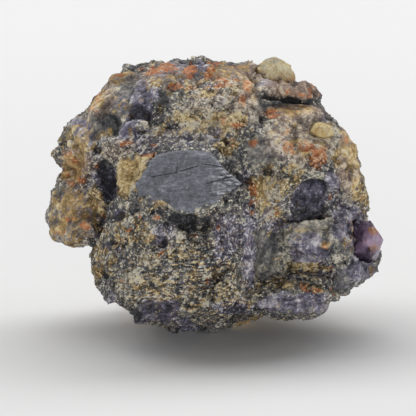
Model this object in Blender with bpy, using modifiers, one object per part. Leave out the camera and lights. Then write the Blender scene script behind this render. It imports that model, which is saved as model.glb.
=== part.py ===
"""A lump of rough fluorite with pale beryl grains and a purple crystal, lying on its small flat foot.

Everything is built square to the lump's show side, with X across to the right, Y up and Z out towards
the viewer, and is parented to an empty that leans that side back and lifts it onto its foot. Places
and sizes are written in millimetres.
"""

import itertools
import math
import random

import bmesh
import bpy
import numpy as np
from mathutils import Matrix, Vector, noise

MM = 0.001
SHOW_TILT = math.radians(14)
FOOT_DROP = 30.0
BOXINESS = 2.6
UNION_VOXEL = 1.0 * MM
HOLLOW_VOXEL = 0.6 * MM
FORM_VOXEL = 0.8 * MM
SOCKET_GAP = 0.3
SWELL_SIZE = 15.0
SWELL_HEIGHT = 0.6
# Width of a fracture cell and height of its step, largest first.
FRACTURES = ((10.0, 1.4), (4.6, 0.85))
SIDE_STRENGTH = 0.4
HASH_ROWS = np.array([[127.1, 269.5, 113.5], [311.7, 183.3, 271.9], [74.7, 246.1, 124.6]])
HASH_SCALE = 43758.5453
CRYSTAL_BEVEL = 0.25 * MM
ROCK_TRIANGLES = 8600
FLOOR_SIZE = (200.0, 200.0, 20.0)

# Each block: centre and half-sizes (across, up, out), roll about the out axis in degrees, corners,
# seed, and flat chips as (direction, distance from the centre).
BLOCKS = {
    "core": (
        (-7.0, -3.5, 3.0), (20.5, 25.0, 26.0), 0, 90, 3,
        (
            ((-0.14, 0.31, 0.94), 20.6),
            ((0.80, -0.04, 0.60), 19.0),
            ((-0.58, -0.12, 0.80), 19.8),
            ((-0.05, -0.42, 0.90), 23.0),
            ((0.05, 0.72, 0.69), 21.0),
            ((-0.60, -0.72, 0.30), 24.5),
        ),
    ),
    "back": ((0.0, 0.5, -9.0), (26.0, 24.0, 21.0), 0, 60, 5, ()),
    "shoulder": (
        (-17.8, 14.9, -2.0), (15.2, 12.0, 17.0), 44, 44, 8,
        (((-0.60, 0.62, 0.50), 11.8), ((-0.35, 0.35, 0.87), 13.2)),
    ),
    "upper_lobe": ((-29.8, 12.2, -6.0), (7.0, 6.4, 10.0), 30, 24, 2, ()),
    "lower_lobe": ((-31.0, -2.3, -7.0), (7.2, 9.4, 12.0), -6, 26, 4, ()),
    "crown": ((-6.0, 17.0, -4.0), (17.0, 14.0, 20.0), 4, 44, 6, (((0.0, 0.68, 0.73), 14.2),)),
    "saddle": ((5.0, 11.5, -2.0), (12.0, 13.5, 21.0), 0, 44, 20, (((0.10, 0.62, 0.78), 15.0),)),
    "right_crown": ((11.5, 18.0, -7.0), (12.5, 11.0, 15.0), -28, 34, 7, (((0.3, 0.6, 0.74), 12.5),)),
    "back_ridge": ((4.0, 24.6, -8.5), (12.5, 5.0, 9.0), -5, 26, 42, ()),
    "right_shoulder": ((16.0, 7.5, -2.0), (14.5, 14.5, 19.0), 28, 44, 9, (((0.40, 0.35, 0.85), 15.5),)),
    "right_edge": ((25.3, 8.0, -5.0), (6.8, 15.0, 14.0), 27, 34, 15, ()),
    "right_flank": ((19.5, -5.5, -6.0), (14.5, 14.0, 15.0), 8, 44, 10, ()),
    "right_ledge": ((21.5, -9.2, 5.0), (7.5, 4.6, 11.0), -10, 22, 11, (((-0.1, 0.75, 0.65), 5.4),)),
    "right_foot": ((15.4, -21.9, 2.0), (12.2, 4.7, 14.0), 9, 26, 12, (((0.0, 0.55, 0.83), 9.5),)),
    "right_knuckle": ((28.9, -6.4, 0.0), (4.4, 5.2, 9.0), 24, 16, 13, ()),
    "low_knuckle": ((30.3, -14.4, -2.0), (7.2, 5.4, 8.0), 34, 20, 16, ()),
    "belly": ((-2.5, -20.4, -8.0), (13.0, 10.8, 13.0), 2, 40, 14, ()),
    "low_left": ((-15.4, -15.6, 2.0), (11.2, 11.0, 18.0), 40, 34, 41, ()),
    "left_toe": ((-12.6, -24.0, -2.0), (6.0, 4.0, 8.0), -16, 18, 17, ()),
    "slot_roof": ((18.0, 23.2, -1.0), (5.7, 2.4, 8.5), -10, 18, 18, ()),
    "back_bump": ((-16.0, 26.6, -10.0), (6.0, 4.4, 7.0), 18, 18, 19, ()),
}

# Hollows cut into the lump, in the same form.
HOLLOWS = {
    "right_recess": ((20.4, -0.6, 15.0), (4.8, 5.8, 8.5), -26, 18, 21, ()),
    "left_pocket": ((-23.6, 2.8, 14.5), (3.3, 5.6, 7.5), -18, 18, 22, ()),
    "ochre_pocket": ((-19.5, 5.4, 20.0), (3.2, 4.6, 3.6), -28, 16, 27, ()),
    "left_groove": ((-26.0, -7.0, 11.0), (1.6, 7.0, 8.0), -8, 14, 23, ()),
    "valley": ((13.2, -12.5, 22.0), (3.4, 9.0, 8.0), -10, 18, 24, ()),
    "foot_hollow": ((19.5, -16.3, 16.0), (9.0, 2.3, 8.0), 6, 16, 26, ()),
    "crown_slot": ((15.0, 21.2, 8.0), (5.0, 1.4, 5.5), -4, 16, 25, ()),
    "face_undercut": ((-5.8, -5.2, 25.5), (4.6, 1.5, 3.6), -6, 14, 28, ()),
}

# The smooth cleavage face on the show side: its outline (across, up), and the plane it lies in.
FACE_OUTLINE = (
    (-17.5, 2.1), (-14.1, 8.1), (-12.5, 9.3), (-6.9, 10.5), (-0.3, 9.0), (2.6, 5.7), (7.1, 2.7),
    (3.5, 0.6), (-0.4, -1.9), (-3.4, -3.7), (-8.0, -2.9), (-10.2, -1.7), (-13.5, 0.4), (-16.9, 1.0),
)
FACE_POINT = Vector((-6.0, 3.5, 24.6))
FACE_NORMAL = Vector((-0.10, 0.30, 0.95)).normalized()
FACE_DEPTH = 9.0
FACE_SKIN = 1.2
FACE_STEP = 0.5
FACE_MARGIN = 1.22

# Crystals set in sockets of the lump: centre, half-sizes, roll, corners and seed of each.
CRYSTALS = {
    "beryl_bead": ((23.2, 14.3, 9.8), (2.6, 1.7, 2.4), -8, 22, 31),
    "beryl_knob": ((13.4, 27.2, -4.0), (4.2, 3.9, 5.0), -20, 26, 32),
    "purple_crystal": ((33.6, -9.8, 2.4), (3.7, 5.0, 5.6), 8, 14, 34),
}
# Base colour and roughness of each piece.
FINISHES = {
    "fluorite_rock": ((0.12, 0.12, 0.15), 0.75),
    "beryl_bead": ((0.62, 0.60, 0.36), 0.35),
    "beryl_knob": ((0.50, 0.47, 0.30), 0.4),
    "purple_crystal": ((0.13, 0.09, 0.17), 0.2),
}


def clear_scene():
    for old in list(bpy.data.objects):
        bpy.data.objects.remove(old, do_unlink=True)


def collection(name):
    made = bpy.data.collections.new(name)
    bpy.context.scene.collection.children.link(made)
    return made


def finish(name):
    """The piece's plain mineral finish: base colour and roughness, and no metal."""
    colour, roughness = FINISHES[name]
    material = bpy.data.materials.new(name)
    material.use_nodes = True
    shader = material.node_tree.nodes["Principled BSDF"]
    shader.inputs["Base Color"].default_value = (*colour, 1)
    shader.inputs["Roughness"].default_value = roughness
    shader.inputs["Metallic"].default_value = 0.0
    return material


def show_side():
    """The empty that carries the lump: it leans the show side back and lifts the lump onto its foot."""
    carrier = bpy.data.objects.new("show_side", None)
    carrier.rotation_euler.x = math.pi / 2 - SHOW_TILT
    carrier.location.z = FOOT_DROP * MM
    bpy.context.scene.collection.objects.link(carrier)
    return carrier


def hull_points(half_sizes, turn, corners, seed, chips):
    """Jittered points spread evenly over a boxy ellipsoid, turned, and pressed flat by each chip."""
    dice = random.Random(seed)
    golden = math.pi * (3 - math.sqrt(5))
    for i in range(corners):
        height = 1 - 2 * (i + 0.5) / corners
        ring = math.sqrt(1 - height * height)
        angle = golden * i + dice.uniform(-0.3, 0.3)
        way = Vector((ring * math.cos(angle), height, ring * math.sin(angle)))
        reach = sum(abs(c) ** BOXINESS for c in way) ** (-1 / BOXINESS)
        reach *= dice.uniform(0.93, 1.04)
        point = turn @ Vector(c * half for c, half in zip(way, half_sizes)) * reach
        for direction, distance in chips:
            normal = Vector(direction).normalized()
            over = point.dot(normal) - distance
            if over > 0:
                point -= normal * over
        yield point


def add_block(shape, centre, half_sizes, roll, corners, seed, chips=()):
    """Adds one convex angular block to the bmesh."""
    turn = Matrix.Rotation(math.radians(roll), 3, "Z")
    points = [
        shape.verts.new((Vector(centre) + p) * MM)
        for p in hull_points(half_sizes, turn, corners, seed, chips)
    ]
    hull = bmesh.ops.convex_hull(shape, input=points)
    inside = {e for e in hull["geom_interior"] if isinstance(e, bmesh.types.BMVert)}
    bmesh.ops.delete(shape, geom=list(inside), context="VERTS")


def add_face_slab(shape):
    """The slab whose front is the smooth face: its outline drawn on its plane and pushed inwards."""
    ring = []
    for across, up in FACE_OUTLINE:
        fall = (across - FACE_POINT.x) * FACE_NORMAL.x + (up - FACE_POINT.y) * FACE_NORMAL.y
        ring.append(shape.verts.new(Vector((across, up, FACE_POINT.z - fall / FACE_NORMAL.z)) * MM))
    front = shape.faces.new(ring)
    pushed = bmesh.ops.extrude_face_region(shape, geom=[front], use_keep_orig=True)
    behind = [e for e in pushed["geom"] if isinstance(e, bmesh.types.BMVert)]
    bmesh.ops.translate(shape, verts=behind, vec=-FACE_NORMAL * FACE_DEPTH * MM)


def shape_object(name, shape, home, carrier=None):
    """Closes the bmesh with its faces outwards and links it as an object, on the carrier if given."""
    bmesh.ops.recalc_face_normals(shape, faces=shape.faces)
    mesh = bpy.data.meshes.new(name)
    shape.to_mesh(mesh)
    shape.free()
    made = bpy.data.objects.new(name, mesh)
    made.parent = carrier
    home.objects.link(made)
    return made


def as_cutter(obj):
    obj.hide_render = True
    obj.display_type = "WIRE"
    return obj


def hollow_cutter(tools, carrier):
    """All hollows as one skin."""
    shape = bmesh.new()
    for hollow in HOLLOWS.values():
        add_block(shape, *hollow)
    hollows = as_cutter(shape_object("hollows", shape, tools, carrier))
    remesh(hollows, HOLLOW_VOXEL)
    return hollows


def floor_cutter(tools):
    """A slab with its top at Z = 0, which leaves the foot flat."""
    shape = bmesh.new()
    bmesh.ops.create_cube(shape, size=MM)
    bmesh.ops.scale(shape, vec=FLOOR_SIZE, verts=shape.verts)
    floor = as_cutter(shape_object("floor", shape, tools))
    floor.location.z = -FLOOR_SIZE[2] / 2 * MM
    return floor


def remesh(obj, voxel):
    modifier = obj.modifiers.new("even_skin", "REMESH")
    modifier.mode = "VOXEL"
    modifier.voxel_size = voxel


def cut(obj, tool):
    modifier = obj.modifiers.new("cut_" + tool.name, "BOOLEAN")
    modifier.operation = "DIFFERENCE"
    modifier.object = tool


def apply_modifiers(obj):
    """Replaces the object's mesh by what its modifiers make of it."""
    graph = bpy.context.evaluated_depsgraph_get()
    mesh = bpy.data.meshes.new_from_object(obj.evaluated_get(graph))
    obj.modifiers.clear()
    obj.data = mesh


def scatter(cells, salt):
    """Three repeatable numbers from 0 to 1 for each row of whole numbers."""
    return np.modf(np.abs(np.sin(cells @ HASH_ROWS + salt)) * HASH_SCALE)[0]


def fracture(points, size):
    """A flat tilted step, about -1 to 1, for each cell of a scattered pattern round the points."""
    grid = points / size
    nearest = np.full(len(grid), np.inf)
    step = np.zeros(len(grid))
    for offset in itertools.product((-1, 0, 1), repeat=3):
        cells = np.floor(grid) + offset
        away = grid - cells - scatter(cells, 0.0)
        distance = (away**2).sum(axis=1)
        tilt = scatter(cells, 5.3) - 0.5
        here = 1.4 * (tilt * away).sum(axis=1) + 1.0 * (scatter(cells, 9.1)[:, 0] - 0.5)
        step = np.where(distance < nearest, here, step)
        nearest = np.minimum(distance, nearest)
    return step


def widened(outline, by):
    """The outline made larger about FACE_POINT."""
    middle = FACE_POINT.xy
    return tuple(tuple(middle + (Vector(point) - middle) * by) for point in outline)


def inside_outline(point, outline):
    """Whether a point (across, up) lies inside a closed outline."""
    inside = False
    for (x0, y0), (x1, y1) in zip(outline, outline[1:] + outline[:1]):
        if (y0 > point.y) != (y1 > point.y) and point.x < x0 + (point.y - y0) * (x1 - x0) / (y1 - y0):
            inside = not inside
    return inside


def on_face(at):
    """Whether a point of the show side lies on the smooth face."""
    return abs((at - FACE_POINT).dot(FACE_NORMAL)) < FACE_SKIN and inside_outline(at, FACE_OUTLINE)


def weather(mesh):
    """Breaks the skin into fracture steps of two sizes over broad swells, lower round the sides.

    The smooth face stays flat, and the skin just around it ends a small step behind its plane.
    """
    rim = widened(FACE_OUTLINE, FACE_MARGIN)
    normals = [v.normal.copy() for v in mesh.vertices]
    points = np.array([v.co for v in mesh.vertices]) / MM
    steps = sum(height * fracture(points, size) for size, height in FRACTURES)
    for vertex, normal, step in zip(mesh.vertices, normals, steps):
        at = vertex.co / MM
        if on_face(at):
            continue
        strength = SIDE_STRENGTH + (1 - SIDE_STRENGTH) * min(1.0, 2 * abs(normal.z))
        swell = noise.fractal(at / SWELL_SIZE, 1.0, 2.0, 2)
        at += normal * (SWELL_HEIGHT * swell + strength * step)
        proud = (at - FACE_POINT).dot(FACE_NORMAL) + FACE_STEP
        if proud > 0 and inside_outline(at, rim):
            at -= FACE_NORMAL * proud
        vertex.co = at * MM


def build_rock(home, tools, carrier):
    """All blocks made one skin, hollowed, weathered, thinned to few triangles, and flat at the foot."""
    shape = bmesh.new()
    for block in BLOCKS.values():
        add_block(shape, *block)
    add_face_slab(shape)
    rock = shape_object("fluorite_rock", shape, home, carrier)
    remesh(rock, UNION_VOXEL)
    cut(rock, hollow_cutter(tools, carrier))
    remesh(rock, FORM_VOXEL)
    apply_modifiers(rock)
    weather(rock.data)
    remesh(rock, FORM_VOXEL)
    apply_modifiers(rock)
    thin = rock.modifiers.new("few_triangles", "DECIMATE")
    thin.ratio = ROCK_TRIANGLES / (2 * len(rock.data.polygons))
    cut(rock, floor_cutter(tools))
    rock.data.materials.append(finish("fluorite_rock"))
    return rock


def crystal_object(crystal, name, home, carrier, grow=0.0):
    """The crystal's form in its place, made larger all round by grow."""
    centre, half_sizes, roll, corners, seed = CRYSTALS[crystal]
    shape = bmesh.new()
    add_block(shape, (0, 0, 0), tuple(half + grow for half in half_sizes), 0, corners, seed)
    made = shape_object(name, shape, home, carrier)
    made.location = Vector(centre) * MM
    made.rotation_euler.z = math.radians(roll)
    return made


def build_crystal(name, home, tools, carrier, rock):
    """One crystal with softened edges, and its socket in the rock, a hair wider all round."""
    crystal = crystal_object(name, name, home, carrier)
    bevel = crystal.modifiers.new("soft_edges", "BEVEL")
    bevel.width = CRYSTAL_BEVEL
    bevel.segments = 2
    crystal.data.materials.append(finish(name))
    cut(rock, as_cutter(crystal_object(name, name + "_socket", tools, carrier, SOCKET_GAP)))
    return crystal


def centre_over_origin(carrier, parts):
    """Moves the carrier so that the middle of the parts' common box stands over the origin."""
    graph = bpy.context.evaluated_depsgraph_get()
    solids = [part.evaluated_get(graph) for part in parts]
    corners = [solid.matrix_world @ v.co for solid in solids for v in solid.data.vertices]
    for i in (0, 1):
        carrier.location[i] = -(min(c[i] for c in corners) + max(c[i] for c in corners)) / 2


def main():
    clear_scene()
    home = collection("rough_beryl_in_fluorite")
    tools = collection("cutters")
    carrier = show_side()
    rock = build_rock(home, tools, carrier)
    crystals = [build_crystal(name, home, tools, carrier, rock) for name in CRYSTALS]
    centre_over_origin(carrier, [rock, *crystals])


main()
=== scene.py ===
"""Looks for a rough lump of fluorite with pale beryl grains and a purple crystal.

The script is laid out as a Blender add-on and is run as a script. Lengths are in metres, and MM turns
millimetres into them. The lump was measured square to its show side: across to the right, up, and out
towards the viewer, in millimetres. Places on that side are given as pixels of the 416 pixel photograph.
"""

import itertools
import math
from types import SimpleNamespace

import bmesh
import bpy
import numpy as np
from bpy.props import FloatProperty, FloatVectorProperty, IntProperty, PointerProperty
from mathutils import Matrix, Vector
from mathutils.bvhtree import BVHTree


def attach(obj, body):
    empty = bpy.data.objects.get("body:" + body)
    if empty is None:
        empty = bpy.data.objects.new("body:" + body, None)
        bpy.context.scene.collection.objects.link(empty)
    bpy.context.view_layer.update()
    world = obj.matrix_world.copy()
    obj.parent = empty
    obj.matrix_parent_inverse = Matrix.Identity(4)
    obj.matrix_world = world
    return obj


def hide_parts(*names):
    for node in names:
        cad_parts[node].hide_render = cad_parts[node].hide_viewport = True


bl_info = {
    "name": "Rough Beryl in Fluorite",
    "version": (1, 0, 0),
    "blender": (4, 5, 0),
    "location": "View3D > Sidebar > Specimen",
    "description": "Builds a rough fluorite specimen with beryl grains on its stage",
    "category": "Add Mesh",
}

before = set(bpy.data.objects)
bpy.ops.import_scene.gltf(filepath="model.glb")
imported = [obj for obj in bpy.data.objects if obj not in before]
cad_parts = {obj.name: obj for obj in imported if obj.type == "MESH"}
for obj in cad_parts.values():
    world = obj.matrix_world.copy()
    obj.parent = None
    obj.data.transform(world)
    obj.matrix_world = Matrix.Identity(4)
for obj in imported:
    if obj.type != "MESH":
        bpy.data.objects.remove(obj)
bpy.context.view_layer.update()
BODY = "root"
MM = 0.001

# The photograph's view of the lump
PHOTO_WIDTH = 416
PIXEL = 0.222 * MM
LUMP_PIXEL = (215, 197)
LUMP_MIDDLE = Vector((0.45, -2.21, 30.0)) * MM
SHOW_TILT = math.radians(14)
ACROSS = Vector((1, 0, 0))
UP = Vector((0, math.sin(SHOW_TILT), math.cos(SHOW_TILT)))
OUT = Vector((0, -math.cos(SHOW_TILT), math.sin(SHOW_TILT)))
LENS = 180.0
SENSOR = 36.0
VIEW_DISTANCE = PHOTO_WIDTH * PIXEL / SENSOR * LENS
VIEW_POINT = LUMP_MIDDLE + OUT * VIEW_DISTANCE

# How far a place must face the viewer, and how far out it must lie in millimetres, to start to show in the
# photograph and to show in full; and how far it faces the viewer where the outline starts and is full
SHOWN_FACING = (-0.35, 0.0)
SHOWN_DEPTH = (-8.0, -2.0)
LIMB_FACING = (0.85, 0.4)

# The smooth cleavage face: its outline (across, up) in millimetres, the plane it lies in, and how far from
# that plane it reaches and its outline wanders
FACE_OUTLINE = (
    (-18.2, 0.4), (-17.2, 3.0), (-14.7, 6.6), (-12.4, 9.2), (-9.7, 10.3), (-5.3, 10.5), (-2.1, 10.2),
    (1.7, 7.4), (4.9, 4.2), (6.0, 2.6), (4.6, 1.4), (2.1, 0.5), (-1.0, -1.7), (-5.3, -3.6), (-8.2, -2.4),
    (-11.5, -0.8), (-14.3, 0.1),
)
FACE_POINT = Vector((-6.0, 3.5, 24.6))
FACE_NORMAL = Vector((-0.10, 0.30, 0.95)).normalized()
FACE_LAYER = 2.2
FACE_EATEN = 0.8
# How far inside the outline, in millimetres, the face starts and is whole
FACE_EDGE = (-0.7, 0.9)
# Its cracks: the pixels of each end and its width in millimetres
CRACKS = (
    ((150, 177.5), (174, 173.5), 0.16), ((172, 174), (199, 166), 0.2), ((206, 184), (223, 180), 0.2),
    ((219, 176.5), (236, 173), 0.24), ((212, 183), (232, 177), 0.16), ((230, 193), (242, 185), 0.3),
    ((200, 164), (226, 168), 0.14), ((177, 166), (176, 173), 0.12),
)

# Stains and minerals laid on the show side: the pixel, half-width, half-height and strength of
# each, and where it leans, its turn in degrees (anticlockwise)
PATCHES = {
    "ochre": (
        (132, 173, 14, 20, 1.0, -20), (122, 192, 9, 8, 1.0), (72, 215, 28, 34, 0.7),
        (95, 205, 9, 24, 0.9), (72, 168, 15, 17, 0.9), (78, 138, 22, 18, 0.6), (106, 131, 7, 5, 0.8),
        (120, 75, 18, 9, 0.8, 30), (97, 100, 8, 14, 0.9, -40), (118, 100, 15, 18, 0.35),
        (175, 84, 32, 9, 0.6), (230, 68, 30, 9, 0.7), (187, 118, 9, 4, 1.0), (209, 96, 10, 6, 1.0),
        (219, 119, 9, 9, 1.0), (237, 122, 12, 7, 1.0), (230, 138, 12, 14, 0.7), (222, 152, 10, 8, 0.8),
        (250, 92, 11, 14, 0.4), (290, 113, 32, 7, 0.7), (305, 148, 26, 14, 0.5), (255, 188, 9, 12, 1.0),
        (269, 184, 8, 8, 0.8), (290, 180, 14, 24, 0.45), (283, 76, 14, 9, 0.9, -20),
        (350, 150, 13, 28, 0.8, 12), (360, 190, 10, 30, 0.75, 10), (341, 158, 12, 20, 0.6),
        (152, 205, 22, 10, 0.5), (132, 230, 22, 18, 0.6), (149, 236, 9, 8, 0.8), (108, 250, 12, 28, 0.5),
        (98, 262, 6, 24, 0.8), (175, 250, 16, 12, 0.3), (205, 290, 46, 22, 0.25),
        (150, 285, 32, 14, 0.4), (305, 266, 18, 5, 0.9), (280, 284, 22, 5, 0.9),
        (310, 290, 14, 5, 1.0, -12), (326, 269, 7, 4, 0.9), (325, 246, 6, 5, 0.9),
        (300, 231, 14, 7, 0.4), (262, 322, 32, 7, 0.5), (372, 272, 5, 4, 0.7), (200, 112, 52, 30, 0.3),
        (295, 132, 46, 26, 0.3), (268, 195, 20, 34, 0.5), (225, 80, 34, 20, 0.5),
        (275, 210, 14, 20, 0.5), (272, 165, 6, 5, 0.6), (155, 130, 16, 10, 0.35), (350, 243, 8, 8, 0.4),
    ),
    "rust": (
        (158, 69, 22, 8, 0.9), (190, 70, 7, 10, 1.0), (212, 74, 10, 7, 0.7), (172, 88, 14, 4, 0.8),
        (192, 88, 6, 4, 0.8), (218, 84, 22, 7, 0.7), (97, 98, 5, 6, 0.8), (93, 109, 5, 4, 0.6),
        (82, 181, 5, 4, 1.0), (71, 184, 5, 3, 0.8), (72, 168, 12, 12, 0.5), (66, 153, 7, 5, 0.6),
        (84, 227, 6, 5, 1.0), (69, 220, 8, 3, 0.8), (62, 232, 6, 3, 0.7), (97, 166, 5, 4, 0.9),
        (120, 145, 5, 3, 0.8), (154, 146, 5, 3, 0.9), (151, 155, 7, 3, 1.0), (141, 155, 5, 3, 0.8),
        (129, 142, 6, 3, 0.6), (246, 89, 5, 7, 1.0), (242, 103, 5, 9, 0.9, 15), (221, 120, 6, 5, 0.9),
        (237, 126, 9, 3, 1.0), (231, 142, 5, 6, 0.7), (272, 114, 9, 5, 1.0), (296, 112, 24, 4, 0.45),
        (300, 92, 19, 6, 0.45), (312, 92, 6, 8, 0.6), (288, 148, 6, 10, 0.9, 20), (305, 146, 9, 6, 0.8),
        (318, 158, 9, 12, 0.9), (344, 140, 6, 10, 0.7), (251, 190, 6, 9, 1.0), (250, 203, 4, 6, 0.9),
        (248, 213, 3, 3, 0.8), (276, 212, 3, 3, 0.9), (140, 216, 3, 5, 1.0), (156, 218, 4, 3, 1.0),
        (130, 230, 3, 3, 1.0), (161, 254, 5, 2.5, 1.0, 20), (218, 228, 4, 3, 1.0), (193, 235, 5, 3, 0.7),
        (207, 285, 3, 5, 0.7), (309, 291, 12, 4, 1.0, -12), (331, 292, 3, 6, 0.8), (331, 267, 4, 3, 0.9),
        (325, 247, 3, 3, 0.9), (134, 288, 4, 3, 0.7), (118, 281, 4, 3, 0.6), (277, 265, 4, 4, 0.6),
        (100, 222, 3, 5, 0.6), (335, 200, 6, 5, 0.6), (358, 200, 4, 8, 0.5), (120, 76, 12, 4, 0.5, 30),
        (295, 130, 22, 6, 0.4), (215, 63, 8, 4, 0.8), (240, 66, 10, 4, 0.6), (255, 144, 7, 5, 0.7),
    ),
    "cream": (
        (106, 154, 16, 4, 0.9, 38), (126, 134, 4, 3, 1.0), (184, 86, 3, 7, 1.0, 20),
        (185, 103, 9, 4, 0.9, 15), (209, 94, 8, 5, 0.9, -20), (200, 128, 10, 9, 0.8, 20),
        (198, 112, 26, 20, 0.55), (215, 72, 5, 5, 0.8, -30), (150, 132, 18, 10, 0.5),
        # The first two spots of the next line are painted glints
        (268, 133, 4, 4, 1.0), (275, 121, 5, 3, 0.8, 30), (293, 124, 8, 5, 0.7), (222, 153, 9, 8, 0.7),
        (252, 168, 13, 2.5, 1.0, -25), (235, 168, 5, 3, 0.9), (317, 174, 10, 2.5, 0.9, -8),
        (267, 162, 3, 7, 0.8, -30), (330, 176, 8, 8, 0.6), (152, 230, 14, 12, 0.9),
        (152, 203, 20, 7, 0.5), (120, 206, 12, 5, 0.6), (130, 268, 20, 20, 0.6), (118, 282, 10, 12, 0.6),
        (180, 285, 44, 30, 0.25), (215, 214, 5, 8, 0.7), (250, 235, 9, 8, 0.4), (319, 225, 14, 7, 0.9),
        (325, 224, 5, 8, 1.0), (293, 231, 8, 4, 0.7), (334, 240, 4, 7, 0.7),
        (352, 234, 10, 2.5, 0.9, -45), (305, 265, 14, 3, 0.9), (297, 283, 4, 4, 0.9),
        (272, 288, 10, 3, 0.8), (256, 304, 16, 3.5, 0.8, -12), (300, 313, 30, 2.5, 0.6),
        (92, 172, 5, 7, 0.7), (90, 115, 5, 5, 0.5), (150, 315, 7, 9, 0.6, 30), (180, 250, 30, 24, 0.35),
        (250, 88, 10, 12, 0.35), (372, 250, 6, 4, 0.4), (110, 232, 12, 16, 0.5), (345, 288, 7, 6, 0.5),
        (228, 282, 22, 5, 0.6), (288, 196, 16, 20, 0.3), (205, 325, 18, 6, 0.6, 10),
    ),
    "violet": (
        (146, 101, 8, 17, 0.9), (138, 116, 13, 8, 0.8), (203, 70, 8, 9, 1.0), (182, 83, 4, 7, 0.8),
        (249, 255, 8, 34, 1.0), (247, 215, 6, 14, 0.7), (295, 302, 40, 9, 1.0, 4),
        (340, 228, 9, 12, 0.9), (350, 215, 18, 9, 0.7), (360, 270, 20, 13, 0.6), (308, 246, 22, 10, 0.9),
        (330, 182, 7, 12, 0.8), (110, 185, 10, 14, 0.7), (160, 312, 26, 12, 0.8), (187, 328, 11, 9, 0.9),
        (118, 215, 8, 7, 0.8), (308, 198, 18, 20, 0.6), (165, 240, 14, 16, 0.6), (165, 74, 9, 4, 0.6),
        (82, 130, 12, 10, 0.4), (232, 308, 26, 7, 0.8), (128, 130, 10, 10, 0.5), (72, 213, 12, 10, 0.6),
        (110, 247, 10, 5, 0.5), (268, 82, 11, 8, 0.5), (280, 142, 18, 8, 0.4), (250, 176, 12, 9, 0.5),
        (228, 240, 16, 24, 0.6),
    ),
    # Dark mineral, and painted shade in the hollows, recesses, the slot, cracks and pits
    "dark": (
        (108, 178, 10, 18, 1.0, 15), (103, 208, 4, 20, 0.9), (104, 119, 12, 9, 0.9),
        (113, 128, 4, 9, 0.9), (94, 135, 6, 6, 0.8), (94, 149, 5, 5, 1.0), (138, 112, 12, 8, 1.0, -15),
        (164, 101, 8, 11, 0.6), (169, 74, 8, 2.5, 0.9), (140, 74, 3, 8, 0.7), (181, 97, 4, 8, 0.7),
        (196, 108, 12, 13, 0.45), (211, 92, 5, 3, 0.8), (225, 142, 4, 4, 1.0),
        (282, 99, 21, 2.2, 1.0, -5), (302, 102, 10, 2, 0.9, -5), (294, 85, 4, 3, 0.9),
        (308, 91, 2.5, 8, 0.7, 30), (332, 122, 12, 4, 0.6, -40), (342, 128, 3, 6, 0.6, -40),
        (266, 172, 7, 6, 0.9), (245, 181, 8, 4, 0.7), (308, 205, 18, 18, 0.75), (314, 187, 14, 9, 0.8),
        (318, 210, 9, 6, 0.9), (294, 222, 10, 2.5, 1.0), (351, 172, 4, 12, 0.8), (290, 188, 12, 20, 0.3),
        (185, 222, 20, 8, 0.9, -8), (222, 215, 12, 8, 0.5), (161, 243, 7, 6, 1.0),
        (118, 217, 8, 5, 1.0, 20), (137, 247, 8, 7, 0.5), (230, 252, 14, 24, 0.3),
        (268, 245, 13, 26, 0.4, 8), (262, 272, 9, 14, 0.4), (295, 272, 30, 6, 0.45),
        (323, 266, 5, 3, 0.9), (308, 245, 16, 9, 0.15), (354, 228, 8, 8, 1.0, -45),
        (361, 243, 2, 18, 1.0), (358, 265, 14, 5, 0.7, -15), (340, 225, 8, 8, 0.5),
        (74, 217, 12, 12, 0.55), (75, 234, 6, 3, 0.7), (58, 155, 5, 8, 0.6), (160, 310, 16, 8, 0.8),
        (136, 312, 7, 8, 0.8), (102, 274, 3, 7, 0.9), (112, 263, 4, 4, 0.6), (240, 310, 24, 4, 0.8, -6),
        (188, 328, 10, 8, 0.4), (155, 270, 12, 5, 0.3), (185, 285, 14, 4, 0.4), (345, 175, 10, 14, 0.4),
        (232, 172, 14, 3, 0.5, 20), (218, 285, 44, 40, 0.5),
    ),
    "facet": (
        (118, 102, 24, 26, 0.95), (146, 101, 9, 17, 0.8), (268, 85, 14, 9, 0.95),
        (282, 104, 24, 4.5, 1.0, -3), (199, 129, 9, 8, 0.7), (308, 240, 26, 16, 0.6),
        (340, 228, 10, 14, 0.8), (249, 255, 8, 32, 0.6), (295, 304, 38, 9, 0.6, 4),
        (362, 270, 18, 13, 0.7), (310, 200, 16, 18, 0.7), (330, 182, 8, 12, 0.8), (72, 168, 16, 20, 1.0),
        (68, 215, 28, 34, 1.0), (78, 132, 24, 20, 1.0), (350, 155, 16, 38, 0.95),
        (232, 69, 34, 16, 0.95), (120, 76, 16, 9, 1.0, 30), (118, 215, 9, 7, 0.7),
        (250, 90, 12, 16, 0.8), (300, 135, 46, 28, 0.75), (268, 190, 16, 30, 0.3),
        (165, 71, 46, 18, 0.95), (90, 105, 24, 28, 0.9), (348, 225, 16, 20, 0.7), (298, 110, 34, 8, 1.0),
        (292, 88, 32, 10, 1.0), (268, 252, 12, 30, 0.6, 8), (185, 222, 22, 7, 0.5, -8),
        (190, 138, 46, 9, 0.45), (106, 180, 10, 26, 0.6), (345, 250, 10, 12, 0.5),
        (160, 312, 26, 12, 0.6), (188, 328, 10, 9, 0.6), (345, 288, 8, 7, 0.6),
    ),
    # Crust laid down in sheets, which show as flecks lying level
    "layered": (
        (190, 282, 74, 44, 1.0), (298, 272, 38, 16, 0.9), (300, 302, 40, 9, 0.5, 4),
        (210, 236, 34, 24, 0.4), (186, 124, 30, 14, 0.5, 20), (172, 82, 34, 10, 0.4),
    ),
    # Areas tinted brown as a whole
    "warm": (
        (292, 90, 30, 9, 1.0), (294, 113, 36, 9, 1.0), (300, 140, 40, 30, 0.6), (350, 160, 16, 42, 0.8),
        (240, 75, 32, 14, 0.8), (245, 98, 16, 22, 0.6), (75, 165, 20, 22, 0.9),
        (98, 98, 22, 18, 0.7, 40), (160, 75, 44, 14, 0.5), (78, 215, 28, 32, 0.5),
        (268, 190, 16, 30, 0.4), (215, 115, 44, 26, 0.4), (120, 150, 20, 10, 0.5, 30),
    ),
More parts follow.
